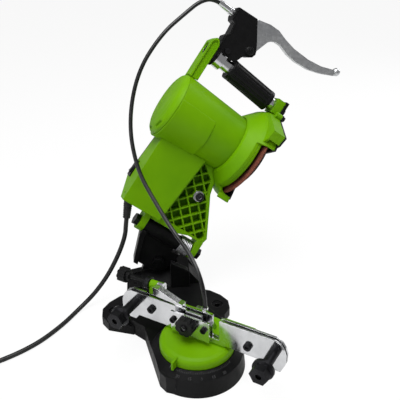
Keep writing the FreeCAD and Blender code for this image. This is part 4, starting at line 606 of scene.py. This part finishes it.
def pivot_cap(radius=6.6):
    """Screw cap on the lever's pivot: a pan head with a raised cross, facing -Y."""
    pan = [(0, 1), (0.9, 1), (1.6, 0.86), (2.0, 0.6), (2.1, 0.5)]
    cross = [(-0.5, -0.16), (-0.16, -0.16), (-0.16, -0.5), (0.16, -0.5), (0.16, -0.16), (0.5, -0.16),
             (0.5, 0.16), (0.16, 0.16), (0.16, 0.5), (-0.16, 0.5), (-0.16, 0.16), (-0.5, 0.16)]
    bm = bmesh.new()
    lathe(bm, [(along, share * radius) for along, share in pan], sides=32)
    redirect(bm, "Z")
    slab(bm, [(x * radius, z * radius) for x, z in cross], -2.5, -1.9)
    solid("pivot_cap", "head", "black_plastic", bm, HEAD @ place(LEVER_PIVOT_X, -14, LEVER_UP), bevel=0.15)


def housing_rim():
    """The seam round the lever housing's cable boss."""
    outer = [(-84.9, 349.4), (-84.9, 331), (-78, 329.6), (-75, 313), (-79.8, 305.6), (-79.3, 298),
             (-77.8, 294)]
    inner = [(-83.1, 347.6), (-83.1, 332.4), (-76.4, 331), (-73.2, 312.2), (-78, 305), (-77.6, 298.8),
             (-76, 295)]
    bm = bmesh.new()
    band(bm, outer, inner, -11.7, -10.6)
    solid("housing_rim", "head", "black_plastic", bm, HEAD, bevel=0.3)


def relief_rings(count=7, first=-3.0, pitch=3.4, wide=6.85, taper=0.17):
    """Bend-relief rings round the rubber sleeve, each a little narrower than the one above."""
    section = [(0, -1.6), (0, -0.2), (-0.4, 0), (-1.2, 0), (-1.6, -0.2), (-1.6, -1.6)]
    bm = bmesh.new()
    for step in range(count):
        lathe(bm, [(first - pitch * step + along, wide - taper * step + out) for along, out in section],
              sides=28, closed=True)
    redirect(bm, "Y")
    solid("relief_rings", "head", "rubber", bm, RELIEF)


motor_skirt()
post_rim()
tube_collars()
pivot_cap()
housing_rim()
# dark socket screw in the bright washer on the arm
turned_piece("arm_screw_face", "head", "dark_steel",
             [(0, 6.9), (0.5, 6.9), (0.9, 6.4), (0.9, 3.4), (-1.4, 3.2)], HEAD @ place(21, -18.3, 81))
relief_rings()


# ---------------------------------------------------------------- vise and dial
def dial_spot(angle, radius):
    """Frame on the sloping ring: x along the ring, y up the slope, z out of it."""
    turned = math.radians(-90 - angle)
    out = Vector((math.cos(turned), math.sin(turned), 0))
    along = Vector((-out.y, out.x, 0))
    up = (out * -DIAL_RUN + Vector((0, 0, DIAL_FALL))).normalized()
    spot = out * radius + Vector((0, 0, DIAL_HIGH - (radius - DIAL_RADIUS) * DIAL_FALL / DIAL_RUN))
    facing = Matrix((along, up, along.cross(up))).transposed().to_4x4()
    return DIAL @ place(*spot) @ facing


def lay_on_dial(bm, mark, angle, radius, turned=ROW):
    """Put a mark that is drawn in millimetres on the ring."""
    spot = Matrix.Scale(1 / MM, 4) @ dial_spot(angle, radius) @ Matrix.Scale(MM, 4) @ turned
    bmesh.ops.transform(mark, matrix=spot, verts=mark.verts)
    merge(bm, mark)


def dial_marks():
    """Raised strokes every two and a half degrees, longer ones and plain numbers every fifteen."""
    pitch, reach, half_wide = 2.5, 18, 0.3
    inner_end, number_line = 57, 62.6           # radii
    bm = bmesh.new()
    for step in range(-reach, reach + 1):
        long = 3.0 if step % 6 == 0 else 2.2
        mark = bmesh.new()
        slab(mark, [(-half_wide, -long / 2), (half_wide, -long / 2), (half_wide, long / 2),
                    (-half_wide, long / 2)], -0.35, 0.4)
        lay_on_dial(bm, mark, pitch * step, inner_end - long / 2, turn("X", 90))
    for angle in range(-30, 31, 15):
        text = bpy.data.curves.new("number", "FONT")
        text.body = str(abs(angle))
        text.size = 5.4
        text.extrude = 0.4
        text.align_x = "CENTER"
        shape = mesh_of("number", text)
        number = bmesh.new()
        number.from_mesh(shape)
        bpy.data.meshes.remove(shape)
        lay_on_dial(bm, number, angle, number_line)
    # the marks take the light grey paint, a painted highlight on black raised marks
    solid("dial_marks", "base", "black_cast", bm, material=PAINTED_HIGHLIGHT_CAST)


# bright set screw with a socket in the jaw knob, and the collar round it
turned_piece("jaw_knob_screw", "jaw_set", "chrome",
             [(0, 3.3), (3.6, 3.3), (4.3, 2.7), (4.3, 1.7), (2.6, 1.6)], VISE @ place(JAW_ROD, -18.5, JAW_UP))
turned_piece("jaw_knob_collar", "jaw_set", "black_plastic",
             [(0, 5.6), (1.2, 5.6), (2.2, 5.2), (2.8, 4.4), (2.8, 3.5), (0, 3.5)],
             VISE @ place(JAW_ROD, -22.2, JAW_UP), closed=True)
dial_marks()


# ---------------------------------------------------------------- stage
def stage(half=6, drop=0.0004, white=0.86, glow_share=0.86, glow_strength=1.05):
    """White paper on the bench that mostly glows for the camera, so that only a faint shadow shows."""
    bm = bmesh.new()
    bmesh.ops.create_grid(bm, x_segments=2, y_segments=2, size=half)
    mesh = bpy.data.meshes.new("floor")
    bm.to_mesh(mesh)
    bm.free()
    floor = bpy.data.objects.new("floor", mesh)
    bpy.context.scene.collection.objects.link(floor)
    floor.location.z = -drop
    paper = bpy.data.materials.new("paper")
    paper.use_nodes = True
    tree = paper.node_tree
    shader = tree.nodes["Principled BSDF"]
    shader.inputs["Base Color"].default_value = (white, white, white, 1)
    shader.inputs["Roughness"].default_value = 0.9
    glow = tree.nodes.new("ShaderNodeEmission")
    glow.inputs["Strength"].default_value = glow_strength
    seen = tree.nodes.new("ShaderNodeLightPath")
    share = tree.nodes.new("ShaderNodeMath")
    share.operation = "MULTIPLY"
    share.inputs[1].default_value = glow_share
    tree.links.new(seen.outputs["Is Camera Ray"], share.inputs[0])
    blend = tree.nodes.new("ShaderNodeMixShader")
    tree.links.new(share.outputs["Value"], blend.inputs["Fac"])
    tree.links.new(shader.outputs["BSDF"], blend.inputs[1])
    tree.links.new(glow.outputs["Emission"], blend.inputs[2])
    tree.links.new(blend.outputs["Shader"], tree.nodes["Material Output"].inputs["Surface"])
    mesh.materials.append(paper)


def world(level=0.26):
    """White all round: full for the camera, dim as a light."""
    sky = bpy.data.worlds.new("studio")
    bpy.context.scene.world = sky
    sky.use_nodes = True
    tree = sky.node_tree
    background = tree.nodes["Background"]
    background.inputs["Color"].default_value = (1, 1, 1, 1)
    seen = tree.nodes.new("ShaderNodeLightPath")
    strength = tree.nodes.new("ShaderNodeMapRange")
    strength.inputs["To Min"].default_value = level
    strength.inputs["To Max"].default_value = 1.0
    tree.links.new(seen.outputs["Is Camera Ray"], strength.inputs["Value"])
    tree.links.new(strength.outputs["Result"], background.inputs["Strength"])


def lamp(name, spot, size, watts, target=(0, 0, 0.2)):
    """A soft rectangular lamp that looks at the machine."""
    data = bpy.data.lights.new(name, "AREA")
    data.shape = "RECTANGLE"
    data.size, data.size_y = size
    data.energy = watts
    light = bpy.data.objects.new(name, data)
    bpy.context.scene.collection.objects.link(light)
    light.location = spot
    aim = Vector(target) - Vector(spot)
    light.rotation_mode = "QUATERNION"
    light.rotation_quaternion = aim.to_track_quat("-Z", "Y")


stage()
world()
lamp("overhead", (-0.1, -0.2, 1.5), (1.0, 0.9), 17)
lamp("left_front", (-1.3, -0.9, 0.9), (0.7, 1.0), 4.5)
lamp("right_back", (1.2, 0.8, 0.9), (0.6, 1.0), 6.5)
bpy.context.scene.view_settings.view_transform = "Standard"
